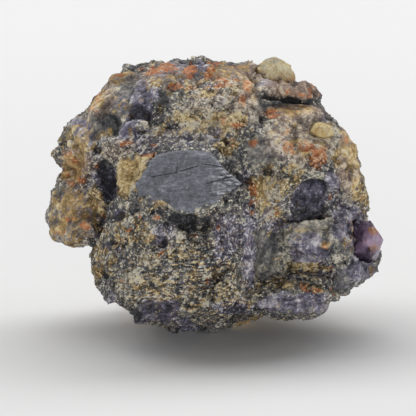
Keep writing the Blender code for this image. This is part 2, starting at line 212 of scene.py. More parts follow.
    # Areas that are lighter as a whole
    "wash": (
        (300, 140, 44, 34, 0.8), (350, 165, 16, 44, 0.7), (236, 240, 14, 44, 0.4),
        (112, 112, 30, 30, 0.45), (268, 200, 20, 34, 1.35), (210, 112, 46, 32, 1.1),
        (245, 150, 18, 16, 0.6), (132, 172, 18, 20, 0.3), (305, 236, 34, 20, 1.0),
        (240, 90, 40, 26, 0.4), (150, 135, 30, 16, 0.4), (72, 168, 20, 24, 0.55), (95, 120, 30, 30, 0.2),
        (130, 275, 26, 26, 0.4), (150, 230, 24, 18, 0.4), (270, 300, 36, 8, 0.5), (75, 218, 32, 34, 0.5),
        (352, 268, 22, 18, 0.5), (132, 172, 18, 22, 0.5), (292, 268, 36, 20, 1.1),
        (160, 74, 40, 12, 0.4), (248, 245, 10, 44, 0.6), (345, 225, 18, 18, 0.75),
        (265, 255, 12, 30, 0.7), (305, 200, 20, 22, 0.8), (160, 315, 30, 14, 0.3),
        (84, 138, 24, 22, 0.4),
    ),
}
# How far from its middle, over its half-width, a patch starts and is whole
PATCH_EDGE = (1.3, 0.55)
# Broken faces of the show side: the mineral each is of, how much lighter it is than the crust round it,
# how far it stands out in millimetres, and its outline's pixels. Where a face is sunk into a hollow, its
# darker tone is painted shade
PLANES = (
    ("facet", -0.02, 0.3, (
        (104, 96), (112, 81), (128, 77), (137, 90), (129, 100), (122, 117), (112, 127), (103, 116),
    )),
    ("violet", -0.06, 0.4, (
        (137, 90), (140, 78), (150, 84), (155, 98), (150, 113), (142, 116), (131, 100),
    )),
    ("violet", 0.14, 0.3, ((149, 83), (152, 84), (157, 98), (152, 114), (149, 112), (153, 98))),
    ("violet", -0.24, -0.6, ((131, 103), (142, 107), (152, 114), (148, 122), (134, 122), (125, 119))),
    ("facet", -0.14, 0.5, ((157, 97), (164, 92), (172, 96), (172, 106), (163, 110), (156, 106))),
    ("facet", -0.18, -0.4, ((92, 120), (104, 109), (116, 112), (118, 123), (108, 133), (96, 134))),
    ("dark", -0.04, -0.5, ((86, 147), (94, 144), (103, 149), (98, 154), (89, 153))),
    ("facet", -0.02, 0.2, ((118, 124), (130, 118), (138, 126), (128, 138), (118, 140))),
    ("facet", 0.06, 0.6, ((257, 80), (266, 75), (276, 79), (281, 88), (269, 96), (256, 93))),
    ("facet", -0.04, 0.5, ((274, 88), (290, 86), (312, 90), (320, 101), (301, 98), (286, 95), (264, 96))),
    ("dark", -0.3, -0.6, (
        (262, 96), (283, 97), (300, 100), (312, 103), (298, 104), (280, 101), (264, 99),
    )),
    ("facet", -0.1, -0.2, ((265, 100), (282, 102), (300, 105), (303, 108), (272, 108))),
    ("facet", 0.04, 0.2, ((264, 110), (300, 108), (324, 112), (312, 122), (291, 118), (272, 115))),
    ("facet", 0.02, 0.1, ((247, 96), (261, 99), (270, 109), (257, 119), (246, 111))),
    ("facet", -0.1, 0.3, ((306, 113), (318, 115), (316, 124), (306, 122))),
    ("facet", -0.1, 0.2, ((240, 142), (268, 134), (284, 150), (268, 168), (250, 163))),
    ("violet", -0.16, -0.4, ((306, 179), (326, 183), (321, 196), (317, 206), (292, 208), (298, 190))),
    ("dark", -0.02, -0.8, ((304, 206), (322, 207), (324, 219), (306, 221), (288, 225), (291, 208))),
    ("facet", 0.0, 0.7, (
        (286, 235), (297, 227), (322, 220), (330, 223), (334, 241), (322, 252), (305, 246), (288, 244),
    )),
    ("cream", 0.1, 0.3, ((297, 227), (312, 221), (331, 219), (332, 231), (316, 232), (306, 229))),
    ("violet", -0.1, 0.1, ((290, 246), (318, 248), (330, 257), (318, 263), (292, 261))),
    ("violet", -0.05, 0.4, ((334, 222), (345, 207), (358, 210), (367, 222), (353, 227), (344, 238))),
    ("violet", -0.26, -0.6, ((345, 233), (361, 223), (363, 237), (352, 245), (341, 239))),
    ("violet", 0.02, 0.5, ((327, 179), (338, 173), (341, 188), (332, 197))),
    ("facet", 0.0, 0.4, ((334, 228), (343, 227), (356, 246), (354, 262), (344, 258), (336, 244))),
    ("facet", -0.06, 0.0, ((258, 236), (266, 228), (280, 246), (276, 270), (262, 284), (256, 262))),
    ("violet", -0.02, 0.3, (
        (262, 294), (285, 291), (318, 300), (330, 304), (318, 312), (286, 314), (264, 308),
    )),
    ("violet", 0.1, 0.2, ((258, 300), (272, 297), (282, 304), (272, 310), (260, 308))),
    ("facet", -0.04, 0.3, ((334, 268), (344, 264), (350, 278), (346, 292), (336, 292))),
    ("violet", -0.03, 0.3, ((352, 256), (368, 252), (376, 262), (366, 274), (354, 274))),
    ("facet", -0.2, 0.4, ((131, 311), (140, 303), (152, 306), (150, 318), (138, 322))),
    ("cream", 0.0, 0.3, ((151, 309), (158, 308), (160, 320), (152, 322))),
    ("violet", -0.2, 0.2, ((161, 307), (176, 306), (177, 320), (164, 323))),
    ("dark", 0.0, -0.5, ((154, 238), (164, 235), (168, 246), (160, 252), (154, 247))),
    ("violet", -0.2, -0.3, ((112, 214), (120, 211), (126, 217), (120, 223), (112, 221))),
    ("dark", 0.02, -0.5, (
        (166, 212), (180, 219), (196, 224), (214, 219), (208, 228), (186, 232), (170, 224),
    )),
    ("ochre", 0.0, 0.2, ((120, 158), (146, 158), (136, 176), (130, 194), (120, 200), (118, 180))),
    ("ochre", 0.26, 0.3, ((144, 158), (150, 158), (140, 174), (133, 188), (130, 186), (136, 172))),
    ("dark", 0.04, -0.6, (
        (97, 164), (104, 160), (113, 166), (117, 182), (114, 198), (106, 200), (100, 184),
    )),
    ("cream", 0.26, 0.2, ((150, 194), (156, 195), (168, 203), (179, 210), (177, 213), (163, 207))),
    ("dark", 0.08, -0.2, ((236, 176), (247, 178), (250, 185), (238, 189), (230, 185))),
)
# How far inside its outline, in pixels, a broken face starts and is whole; how much of the crust's grain
# it loses, and how much where it is of dark mineral; and how strongly its own mineral shows
PLANE_EDGE = (-1.2, 1.6)
PLANE_CALM = 0.7
DARK_PLANE_CALM = 0.3
PLANE_MINERAL = 0.9
# How their edges wander, coarsely and finely: for across and for down, a noise's width in millimetres and
# its salt; and its reach in pixels
RAGGED = (((2.4, 9.2), (2.1, 5.5), 3.0), ((0.8, 1.2), (0.9, 3.5), 1.6))
# Stains laid on the crystals of the show side in the same way as the patches; on the purple crystal the pale
# patches are a painted lilac highlight
CRYSTAL_PATCHES = {
    "amber": (
        (288, 80, 13, 8, 1.0, -20), (276, 79, 12, 5, 0.8), (297, 77, 6, 9, 0.9), (260, 74, 8, 6, 0.9),
        (270, 82, 12, 4, 0.8), (318, 128, 3, 3, 0.5), (373, 231, 6, 5, 1.0), (374, 248, 7, 5, 0.7, 20),
    ),
    "smoke": (
        (272, 60, 10, 5, 1.0), (265, 66, 7, 4, 0.8), (283, 64, 7, 4, 0.5), (360, 230, 4, 12, 0.9),
        (366, 256, 10, 6, 1.0),
    ),
    "pale": (
        (325, 131, 10, 8, 0.7), (278, 72, 20, 9, 1.0), (370, 239, 9, 9, 1.0), (379, 238, 5, 12, 0.9),
    ),
}
# Hollows that are worn shallow, laid in the same way; how far they are worn each time, and how many times;
# and how far out in millimetres they start to be worn and are worn in full
SOFT_HOLLOWS = (
    (192, 225, 30, 9, 1.0), (308, 205, 20, 16, 0.8), (104, 195, 8, 34, 0.6), (262, 262, 14, 26, 0.6),
    (138, 112, 14, 12, 0.7), (100, 208, 6, 14, 0.8),
)
HOLLOW_WEAR = 0.8
HOLLOW_PASSES = 60
HOLLOW_DEPTH = (0.0, 6.0)
# Ridges and grooves of the show side: height in millimetres, half-width in pixels, and the line's pixels;
# and the share of their height that grooves and ridges keep
CREASES = (
    (-1.3, 5, ((96, 152), (104, 172), (107, 190), (104, 210), (100, 228), (94, 246))),
    (1.0, 5, ((86, 170), (96, 160), (108, 152), (121, 142))),
    (-1.1, 9, ((90, 130), (100, 120), (112, 126), (115, 134))),
    (-1.0, 4, ((88, 150), (98, 149))),
    (0.9, 4, ((125, 122), (129, 108), (134, 95), (140, 78))),
    (0.7, 3, ((154, 90), (155, 104), (150, 116))),
    (-1.0, 7, ((131, 112), (141, 114), (150, 119))),
    (-0.8, 7, ((165, 94), (165, 108))),
    (-2.0, 2.5, ((262, 97), (280, 99), (296, 101), (310, 103))),
    (0.9, 4, ((280, 91), (300, 93), (316, 96))),
    (0.7, 5, ((298, 80), (308, 86), (318, 94))),
    (1.4, 4, ((255, 79), (264, 77), (274, 78), (283, 84))),
    (0.5, 5, ((262, 84), (276, 82))),
    (1.0, 6, ((249, 186), (251, 205), (249, 230), (248, 260), (246, 288))),
    (-0.9, 7, ((264, 225), (268, 250), (262, 284))),
    (-1.4, 7, ((168, 217), (190, 224), (214, 222))),
    (-0.8, 4, ((228, 180), (246, 182))),
    (0.8, 3, ((302, 172), (314, 174), (328, 178))),
    (-1.3, 12, ((300, 195), (308, 208), (318, 205))),
    (1.0, 5, ((286, 228), (304, 225), (328, 220))),
    (0.6, 4, ((330, 234), (337, 244), (336, 258))),
    (-0.9, 4, ((284, 262), (300, 272), (324, 272))),
    (0.6, 3, ((294, 264), (314, 264))),
    (0.9, 3, ((262, 286), (284, 284), (302, 288), (322, 295))),
    (-0.6, 3, ((262, 295), (290, 296), (330, 302))),
    (0.6, 4, ((262, 304), (290, 309), (326, 308))),
    (-0.9, 3, ((124, 303), (150, 301), (174, 306))),
    (-0.9, 4, ((176, 314), (176, 326))),
    (-1.2, 2.5, ((357, 222), (361, 242), (360, 262))),
    (-1.1, 8, ((350, 224), (357, 232))),
    (0.7, 3, ((344, 226), (352, 234), (358, 244))),
    (-0.9, 4, ((353, 160), (350, 180))),
    (-1.4, 5, ((162, 243), (162, 245))),
    (-0.8, 7, ((115, 216), (122, 216))),
    (-1.0, 5, ((265, 172), (267, 173))),
    (-0.9, 4, ((225, 141), (226, 143))),
    (-0.5, 3, ((210, 92), (214, 93))),
    (0.5, 7, ((196, 126), (204, 132))),
    (-0.8, 4, ((101, 268), (103, 282))),
    (-0.9, 4, ((335, 286), (336, 298))),
    (-0.7, 4, ((344, 262), (362, 270), (372, 266))),
)
GROOVE_SHARE = 0.5
RIDGE_SHARE = 0.8
# Where the outline is drawn in or let out to the photograph's, in the same way
OUTLINE_SHIFTS = (
    (-2.3, 8, ((52, 142), (56, 124), (66, 112), (80, 103))),
    (-1.6, 6, ((86, 98), (96, 85), (108, 75))),
    (-0.9, 7, ((184, 54), (200, 54), (214, 56))),
    (1.5, 6, ((111, 78), (121, 73), (128, 71))),
    (0.3, 6, ((155, 62), (166, 61), (178, 61))),
    (0.4, 5, ((55, 142), (57, 160))),
    (0.5, 5, ((250, 68), (258, 70), (262, 73))),
    (0.5, 6, ((338, 124), (347, 136), (355, 150))),
    (-0.9, 7, ((366, 172), (370, 186), (371, 202))),
    (0.7, 10, ((364, 204), (368, 212), (370, 222))),
    (1.6, 5, ((334, 296), (348, 294))),
    (0.9, 5, ((304, 316), (322, 312))),
    (0.8, 7, ((46, 214), (48, 228), (54, 240))),
    (-0.5, 7, ((52, 180), (48, 195), (47, 206))),
    (-2.8, 5, ((114, 308), (122, 313), (129, 318))),
    (0.4, 5, ((93, 250), (93, 268))),
    (-0.5, 4, ((60, 244), (75, 248), (90, 248))),
    (-1.0, 6, ((328, 110), (335, 117), (340, 124))),
    (-1.3, 4, ((319, 93), (323, 98))),
    (2.0, 5, ((297, 76), (306, 80), (316, 86))),
    (0.5, 8, ((373, 250), (377, 258), (377, 264))),
)
# Patches of the sides that the photograph does not show: their width in millimetres, the heights of a
# smooth noise of two widths at which they start and are whole, and their least and greatest strength
FAR_PATCHES = {
    "ochre": (8.0, 0.15, 0.6, 0.1, 0.8),
    "rust": (5.5, 0.5, 0.65, 0.0, 0.75),
    "cream": (7.0, 0.3, 0.6, 0.0, 0.5),
    "violet": (9.5, 0.3, 0.6, 0.0, 0.7),
    "dark": (6.0, 0.35, 0.6, 0.0, 0.7),
    "warm": (12.0, 0.0, 0.6, 0.0, 0.6),
    "facet": (7.0, -0.05, 0.35, 0.2, 0.9),
    "layered": (10.0, 0.2, 0.4, 0.0, 0.9),
    "wash": (14.0, 0.0, 0.6, 0.1, 0.5),
}
FAR_SALT = 11.3

# Repeatable scattered numbers
HASH_ROWS = np.array([[127.1, 269.5, 113.5], [311.7, 183.3, 271.9], [74.7, 246.1, 124.6]])
HASH_SCALE = 43758.5453
# Plates between fractures, largest first: their width and height in millimetres, how much their tones
# differ, and how far flat breaks calm them; and the width of a crevice between them
FRACTURES = ((8.0, 0.85, 0.45, 0.0), (3.4, 0.42, 0.35, 0.4), (1.5, 0.18, 0.2, 0.7))
CREVICE = 0.5
# Blades of cleavage: across a blade, along it and through it, each over its width in millimetres; and
# their height
BLADE_TURN = Matrix.Rotation(0.6, 3, "Z") @ Matrix.Rotation(0.4, 3, "X")
BLADES = np.array(BLADE_TURN @ Matrix.Diagonal((1 / 1.6, 1 / 5.0, 1 / 2.4)))
BLADE_HEIGHT = 0.3
# Grit: the width in millimetres, salt and height of each of its noises
GRIT = ((1.5, 3.1, 0.08), (0.95, 4.7, 0.07))
# Pits: the width of the cells of which some hold one, a pit's depth, and the share of cells that hold one
PIT_CELL = 3.4
PIT_DEPTH = 0.9
PIT_SHARE = 0.07
DARK_SINK = 0.2
LIGHT_AND_SHADE_PASSES = 3

# Widths of the skin's patterns; the grains and flecks are drawn as coarse as they need to be to show
BROAD = 9.0 * MM
MIDDLE = 2.6 * MM
FINE = 1.1 * MM
GRAIN = 0.4 * MM
# Chips are splinters drawn out down to the left, and flecks are layers of the crust drawn out sideways
CHIP = 0.95 * MM
CHIP_LEAN = math.radians(55)
CHIP_STRETCH = (0.5, 0.8, 1.0)
FLECK = 0.4 * MM
FLECK_STRETCH = (0.3, 0.6, 1.0)
SCRATCH = 0.6 * MM
SCRATCH_LEAN = math.radians(38)
SCRATCH_STRETCH = (0.3, 1, 1.4)
# How much each mask lightens the crust
BASE_TONE = 0.62
TONE_WEIGHTS = {
    # The first weight paints highlight on edges and shade in nooks, from how far each place stands proud
    "wear": 1.9, "plate": 0.4, "crevice": -0.2, "cream": 0.05, "wash": 0.3, "dark": -0.15, "plane": 1.0,
}

# Tones at which a mineral's five colours stand, from its darkest, as painted shade in nooks, to its palest,
# as painted highlight on edges, and the colours of each
TONE_STOPS = (0.0, 0.3, 0.58, 0.8, 1.0)
GREY_TINTS = ("#2b2b2d", "#515154", "#797977", "#a7a399", "#e8e0cc")
VIOLET_TINTS = ("#2c2b32", "#555362", "#7e7a8e", "#aaa6b5", "#e2dfe5")
OCHRE_TINTS = ("#3d3126", "#746140", "#a98c58", "#d5b477", "#f1ddaa")
RUST_TINTS = ("#432c20", "#855236", "#b87044", "#d69364", "#eec49c")
BROWN_TINTS = ("#38302b", "#6b594d", "#917a6b", "#b89e8c", "#e6d4bc")
FACE_TINTS = ("#343539", "#58595f", "#767881", "#93959e", "#cccdd1")
CRACK_TINT = "#242429"
BERYL_FLAW_TINT = "#7f6838"
DEEP_PURPLE_TINT = "#4d4058"
# Stains of the crystals, laid in turn: the mask, the tint, and the noise and its channel that eat the edge
BERYL_STAINS = (
    ("smoke", "#b2b3a4", "cloud", 1), ("amber", "#cf8f45", "speck", 0), ("pale", "#efe5c0", "cloud", 2),
    ("rim", "#6b5a48", "speck", 1),
)
PURPLE_STAINS_AND_HIGHLIGHT = (
    # The pale lilac is a painted highlight
    ("pale", "#c6aac4", "cloud", 1), ("smoke", "#443a50", "cloud", 2), ("amber", "#c98a50", "speck", 0),
    ("rim", "#3a3342", "speck", 1),
)
# Widths of the cloudy zones and the specks in the crystals
BERYL_CLOUD = 2.4 * MM
BERYL_SPECK = 0.7 * MM
PURPLE_CLOUD = 2.2 * MM
PURPLE_SPECK = 0.8 * MM
FLUORITE_IOR = 1.434
BERYL_IOR = 1.577
# The setting of a range node that eases both ends
EASED = {"interpolation_type": "SMOOTHSTEP"}

# Grains of the crust: the mask they lie on, their darkest and lightest tint, and their roughness
GRAIN_KINDS = {
    "pale_grains": ("pale_grain", "#6f6350", "#d2c39c", 0.7),
    "dark_grains": ("dark_grain", "#323136", "#66646c", 0.4),
}
GRAIN_INPUTS = {
    "Geometry": "NodeSocketGeometry",
    "Grain Size": "NodeSocketFloat",
    "Density": "NodeSocketFloat",
    "Seed": "NodeSocketInt",
    "Mask": "NodeSocketString",
    "Material": "NodeSocketMaterial",
}
# The least and greatest length, width and thickness of a grain, over its size
GRAIN_STRETCH = ((0.35, 0.3, 0.3), (1.7, 1.0, 0.8))
# Heights in millimetres between which grains start, so that none reaches below the foot
GRAIN_FLOOR = (1.1, 1.8)

# Crystals: the piece's name, how its faces are made finer, how much it grows and how high its relief is in
# millimetres, and its slot
CRYSTALS = {
    "beryl_bead": ("beryl_bead_worn", "CATMULL_CLARK", 0.25, 0.2, "beryl"),
    "beryl_knob": ("beryl_knob_worn", "CATMULL_CLARK", 0.15, 0.9, "beryl"),
    "purple_crystal": ("purple_crystal_glassy", "SIMPLE", 0.0, 0.5, "purple_fluorite"),
}
CRYSTAL_LEVELS = 3
# Widths in millimetres of the facets and swells pressed into a crystal, and of its stains out of view
CRYSTAL_FACET = 3.4
CRYSTAL_SWELL = 2.2
CRYSTAL_STAIN = 4.0
# How far a crystal must face the viewer to start to show its listed stains and to show them in full
CRYSTAL_FACING = (-0.35, 0.1)
# How far from the rock, in millimetres, a crystal's dark rim starts and is whole
RIM_REACH = (1.3, 0.35)

# The stage in metres: how far the floor reaches each way, and each soft light's place, aim, width, height
# and the name of its power setting
FLOOR_REACH = 4.0
LIGHTS = {
    "top_light": ((-0.1, 0.7, 1.45), (0, 0.05, 0), 3.8, 0.8, "top_light"),
    "left_light": ((-1.5, 0.2, 0.6), (0, 0, 0), 1.0, 1.0, "side_lights"),
    "right_light": ((1.5, 0.2, 0.6), (0, 0, 0), 1.0, 1.0, "side_lights"),
    "front_light": ((0.2, -1.3, 0.16), tuple(LUMP_MIDDLE), 0.9, 0.24, "front_light"),
}


def linear(colour):
    """An sRGB hex colour as linear red, green and blue."""
    parts = [int(colour[i : i + 2], 16) / 255 for i in (1, 3, 5)]
    return tuple(c / 12.92 if c <= 0.04045 else ((c + 0.055) / 1.055) ** 2.4 for c in parts)


def opaque(colour):
    return (*colour, 1.0)


def colour_property(name, description, colour):
    return FloatVectorProperty(
        name=name, description=description, subtype="COLOR", size=3, min=0, max=1, default=linear(colour)
    )


class LumpSettings(bpy.types.PropertyGroup):
    skin_step: FloatProperty(
        name="Skin step", description="Width of one face of the lump's skin", default=0.46 * MM, unit="LENGTH"
    )
    relief: FloatProperty(name="Relief", description="Height of the fracture steps, as a factor", default=1.0)


class GrainSettings(bpy.types.PropertyGroup):
    size: FloatProperty(name="Size", description="Width of a usual grain", default=0.5 * MM, unit="LENGTH")
    pale_density: FloatProperty(name="Pale grains", description="Pale ones on a square metre", default=5.5e5)
    dark_density: FloatProperty(name="Dark grains", description="Dark ones on a square metre", default=4.5e5)
    seed: IntProperty(name="Seed", description="Where the grains fall", default=7)


class CrystalSettings(bpy.types.PropertyGroup):
    beryl: colour_property("Beryl", "Pale yellow-green beryl", "#f8e0a0")
    beryl_stain: colour_property("Beryl stain", "Amber stain on the beryl", "#cfa85c")
    purple: colour_property("Purple fluorite", "Glassy purple fluorite", "#87708c")


class StageSettings(bpy.types.PropertyGroup):
    floor: colour_property("Floor", "Pale floor", "#eeeeee")
    top_light: FloatProperty(name="Top light", description="Power of the light above", default=38.0)
    side_lights: FloatProperty(name="Side lights", description="Power of the light at each side", default=3.0)
    front_light: FloatProperty(name="Front light", description="Power of the light in front", default=6.0)
    sky: FloatProperty(name="Sky", description="Strength of the even light from all round", default=0.1)


def set_inputs(tree, node, inputs):
    """Sets or links inputs of a node, by name or place; another node stands for its first live output."""
    for key, value in inputs.items():
        if isinstance(value, bpy.types.Node):
            value = next(output for output in value.outputs if output.enabled)
        if isinstance(value, bpy.types.NodeSocket):
            tree.links.new(value, node.inputs[key])
        else:
            node.inputs[key].default_value = value


def add_node(tree, kind, inputs=None, **settings):
    """Adds a node, makes its own settings, and sets or links its inputs."""
    made = tree.nodes.new(kind)
    for name, value in settings.items():
        setattr(made, name, value)
    set_inputs(tree, made, inputs or {})
    return made


def new_material(name):
    """A material with its node tree and shader, ready for more nodes."""
    material = bpy.data.materials.new(name)
    material.use_nodes = True
    return material, material.node_tree, material.node_tree.nodes["Principled BSDF"]


def new_object(name, data):
    """An object of the scene, at the origin, with its mesh, light or camera."""
    made = bpy.data.objects.new(name, data)
    bpy.context.scene.collection.objects.link(made)
    return made


def show_points(points):
    """Places measured across, up and out from the lump's middle, in millimetres."""
    axes = np.array([ACROSS, UP, OUT])
    return (points - np.array(LUMP_MIDDLE)) @ axes.T / MM


def photo_pixels(points):
    """Where the photograph's camera sees each point of the show side's axes, in pixels."""
    nearer = VIEW_DISTANCE / (VIEW_DISTANCE - points[:, 2] * MM)
    across = LUMP_PIXEL[0] + points[:, 0] * MM / PIXEL * nearer
    down = LUMP_PIXEL[1] - points[:, 1] * MM / PIXEL * nearer
    return np.stack((across, down), axis=1)


def scatter(cells, salt):
    """Three repeatable numbers from 0 to 1 for each row of whole numbers."""
    return np.modf(np.abs(np.sin(cells @ HASH_ROWS + salt)) * HASH_SCALE)[0]


def cells_round(points, size, salt):
    """For the nearest seat of a scattered pattern, in cell widths: its three numbers, the way from it, how
    far it is, and how much farther the next seat is."""
    grid = points / size
    nearest = np.full(len(grid), np.inf)
    second = np.full(len(grid), np.inf)
    numbers = np.zeros_like(grid)
    way = np.zeros_like(grid)
    for offset in itertools.product((-1, 0, 1), repeat=3):
        cells = np.floor(grid) + offset
        away = grid - cells - scatter(cells, salt)
        distance = np.sqrt((away**2).sum(axis=1))
        closer = distance < nearest
        second = np.where(closer, nearest, np.minimum(second, distance))
        nearest = np.where(closer, distance, nearest)
        numbers[closer] = scatter(cells[closer], salt + 5.3)
        way[closer] = away[closer]
    return numbers, way, nearest, second - nearest


def soft_step(values, low, high):
    """0 up to low and 1 from high, eased between."""
    part = np.clip((values - low) / (high - low), 0, 1)
    return part * part * (3 - 2 * part)


def swell(points, size, salt):
    """Smooth noise from -1 to 1."""
    grid = points / size
    base = np.floor(grid)
    part = grid - base
    part = part * part * (3 - 2 * part)
    total = np.zeros(len(grid))
    for offset in itertools.product((0, 1), repeat=3):
        share = np.prod(np.where(np.array(offset) == 1, part, 1 - part), axis=1)
        total += share * scatter(base + offset, salt)[:, 0]
    return total * 2 - 1


def swells(points, across, down):
    """Two smooth noises side by side, each from its width and salt."""
    return np.stack((swell(points, *across), swell(points, *down)), axis=1)


def plates(points, size, salt):
    """Flat tilted plates: their height, about -1 to 1, each one's own tone, and the crevices between them."""
    numbers, way, _, gap = cells_round(points, size, salt)
    height = 2.0 * ((numbers - 0.5) * way).sum(axis=1) + (numbers[:, 0] - 0.5)
    crevice = soft_step(gap, CREVICE / size, 0.0) * (numbers[:, 1] > 0.4)
    return height, numbers[:, 2] - 0.5, crevice


def inside_outline(points, outline):
    """Whether each point lies inside a closed outline."""
    inside = np.zeros(len(points), bool)
    x, y = points[:, 0], points[:, 1]
    for (x0, y0), (x1, y1) in zip(outline, outline[1:] + outline[:1]):
        crosses = (y0 > y) != (y1 > y)
        inside ^= crosses & (x < x0 + (y - y0) * (x1 - x0) / (y1 - y0 if y1 != y0 else 1))
    return inside


def line_distance(points, line):
    """How far each point is from a line through several others."""
    nearest = np.full(len(points), np.inf)
    for start, end in zip(line, line[1:]):
        start, way = np.array(start, float), np.array(end, float) - start
        part = np.clip((points - start) @ way / (way @ way), 0, 1)
        nearest = np.minimum(nearest, np.linalg.norm(points - start - part[:, None] * way, axis=1))
    return nearest


def depth_inside(points, outline):
    """How far inside a closed outline each point lies, below 0 outside it."""
    side = np.where(inside_outline(points, outline), 1, -1)
    return line_distance(points, outline + outline[:1]) * side


def patch_mask(pixels, patches):
    """How strongly a kind of patch covers each pixel, 0 to 1; a patch that leans has its turn last."""
    mask = np.zeros(len(pixels))
    for x, y, half_width, half_height, strength, *turn in patches:
        away = (pixels - (x, y)) * (1, -1)
        angle = math.radians(sum(turn))
        along = away @ (math.cos(angle), math.sin(angle))
        beside = away @ (-math.sin(angle), math.cos(angle))
        reach = np.hypot(along / half_width, beside / half_height)
        mask = np.maximum(mask, strength * soft_step(reach, *PATCH_EDGE))
    return mask


def crease_height(pixels, creases, groove=1.0, ridge=1.0):
    """The height of the listed ridges and grooves at each pixel, in millimetres, each kind by its factor."""
    height = np.zeros(len(pixels))
    for tall, half_width, line in creases:
        share = soft_step(line_distance(pixels, line), 1.5 * half_width, 0.1 * half_width)
        height += (groove if tall < 0 else ridge) * tall * share
    return height


def far_mask(points, size, low, high, least, most, salt):
    """Patches scattered over the sides that the photograph does not show."""
    rise = swell(points, size, salt) + 0.5 * swell(points, 0.43 * size, salt + 0.4)
    return least + (most - least) * soft_step(rise, low, high)


def smooth_face_mask(points):
    """1 on the smooth face, 0 elsewhere; it falls off over an uneven rim."""
    height = (points - np.array(FACE_POINT)) @ np.array(FACE_NORMAL)
    seats = points[:, :2] + FACE_EATEN * swells(points, (2.2, 2.3), (1.9, 7.9))
    return soft_step(depth_inside(seats, FACE_OUTLINE), *FACE_EDGE) * (np.abs(height) < FACE_LAYER)


def lay_planes(masks, points, pixels, shown):
    """Adds the broken faces to the masks: their minerals, their tones, with painted shade on those sunk into
    hollows, and their heights.
    """
    masks["plane"] = np.zeros(len(points))
    masks["raised"] = np.zeros(len(points))
    ragged = pixels
    for across, down, reach in RAGGED:
        ragged = ragged + reach * swells(points, across, down)
    for kind, tone, tall, outline in PLANES:
        share = soft_step(depth_inside(ragged, outline), *PLANE_EDGE) * shown
        calm = DARK_PLANE_CALM if kind == "dark" else PLANE_CALM
        masks[kind] = np.maximum(masks[kind], PLANE_MINERAL * share)
        masks["facet"] = np.maximum(masks["facet"], calm * share)
        masks["plane"] += share * (tone - masks["plane"])
        masks["raised"] += share * (tall - masks["raised"])


def stain_masks(points, shown):
    """The named masks of the skin: listed where the photograph shows it, scattered elsewhere."""
    pixels = photo_pixels(points)
    masks = {}
    for salt, kind in enumerate(PATCHES):
        far = far_mask(points, *FAR_PATCHES[kind], FAR_SALT + salt) * (1 - shown)
        masks[kind] = np.maximum(patch_mask(pixels, PATCHES[kind]) * shown, far)
    masks["smooth"] = smooth_face_mask(points)
    lay_planes(masks, points, pixels, shown)
    return masks


def neighbour_mean(mesh, values):
    """The mean of each vertex's neighbours, for values in one or more columns."""
    flat_edges = np.empty(len(mesh.edges) * 2, np.int32)
    mesh.edges.foreach_get("vertices", flat_edges)
    ends = flat_edges.reshape(-1, 2).T
    near = sum(np.bincount(end, minlength=len(values)) for end in ends)
    columns = [
        sum(np.bincount(end, column[other], len(values)) for end, other in (ends, ends[::-1])) / near
        for column in values.T
    ]
    return np.stack(columns, axis=1)


def vectors_of(items, name):
    """A vector property of all the items, as one row each."""
    flat = np.empty(len(items) * 3)
    items.foreach_get(name, flat)
    return flat.reshape(-1, 3)


def move_vertices(mesh, places):
    mesh.vertices.foreach_set("co", places.ravel())
    mesh.update()


def store(mesh, name, values):
    """Keeps one number for each vertex, for the materials and Geometry Nodes to read."""
    layer = mesh.attributes.new(name, "FLOAT", "POINT")
    layer.data.foreach_set("value", np.ascontiguousarray(values, np.float32))


def edge_light_and_nook_shade_of(mesh, places):
    """How far each place stands proud of its neighbours: above 0 on edges, below 0 in nooks; the crust's tone
    uses it as painted highlight on edges and painted shade in nooks.
    """
    normals = vectors_of(mesh.vertices, "normal")
    wear = ((places - neighbour_mean(mesh, places)) * normals).sum(axis=1, keepdims=True) / MM
    for smoothing in range(LIGHT_AND_SHADE_PASSES):
        wear = 0.5 * wear + 0.5 * neighbour_mean(mesh, wear)
    return wear[:, 0]


def soften_hollows(mesh):
    """Wears the rims and floors of the hollows that the photograph shows shallow."""
    places = vectors_of(mesh.vertices, "co")
    points = show_points(places)
    share = HOLLOW_WEAR * patch_mask(photo_pixels(points), SOFT_HOLLOWS)
    share *= soft_step(points[:, 2], *HOLLOW_DEPTH)
    for smoothing in range(HOLLOW_PASSES):
        places += share[:, None] * (neighbour_mean(mesh, places) - places)
    move_vertices(mesh, places)


def fracture_height(points, masks):
    """The steps between plates, and the plates' tones and crevices as masks; the crevices darken the crust as
    painted shade.
    """
    height = np.zeros(len(points))
    masks["plate"] = np.zeros(len(points))
    masks["crevice"] = np.zeros(len(points))
    for salt, (size, tall, tone, calm) in enumerate(FRACTURES):
        bend = 0.12 * size * swell(points, 0.5 * size, salt + 0.7)
        step, plate, crevice = plates(points + bend[:, None], size, salt)
        height += (1 - calm * masks["facet"]) * tall * (step - 0.25 * crevice)
        masks["plate"] += tone * plate
        # The crevices darken the crust as painted shade
        masks["crevice"] = np.maximum(masks["crevice"], crevice)
    return height


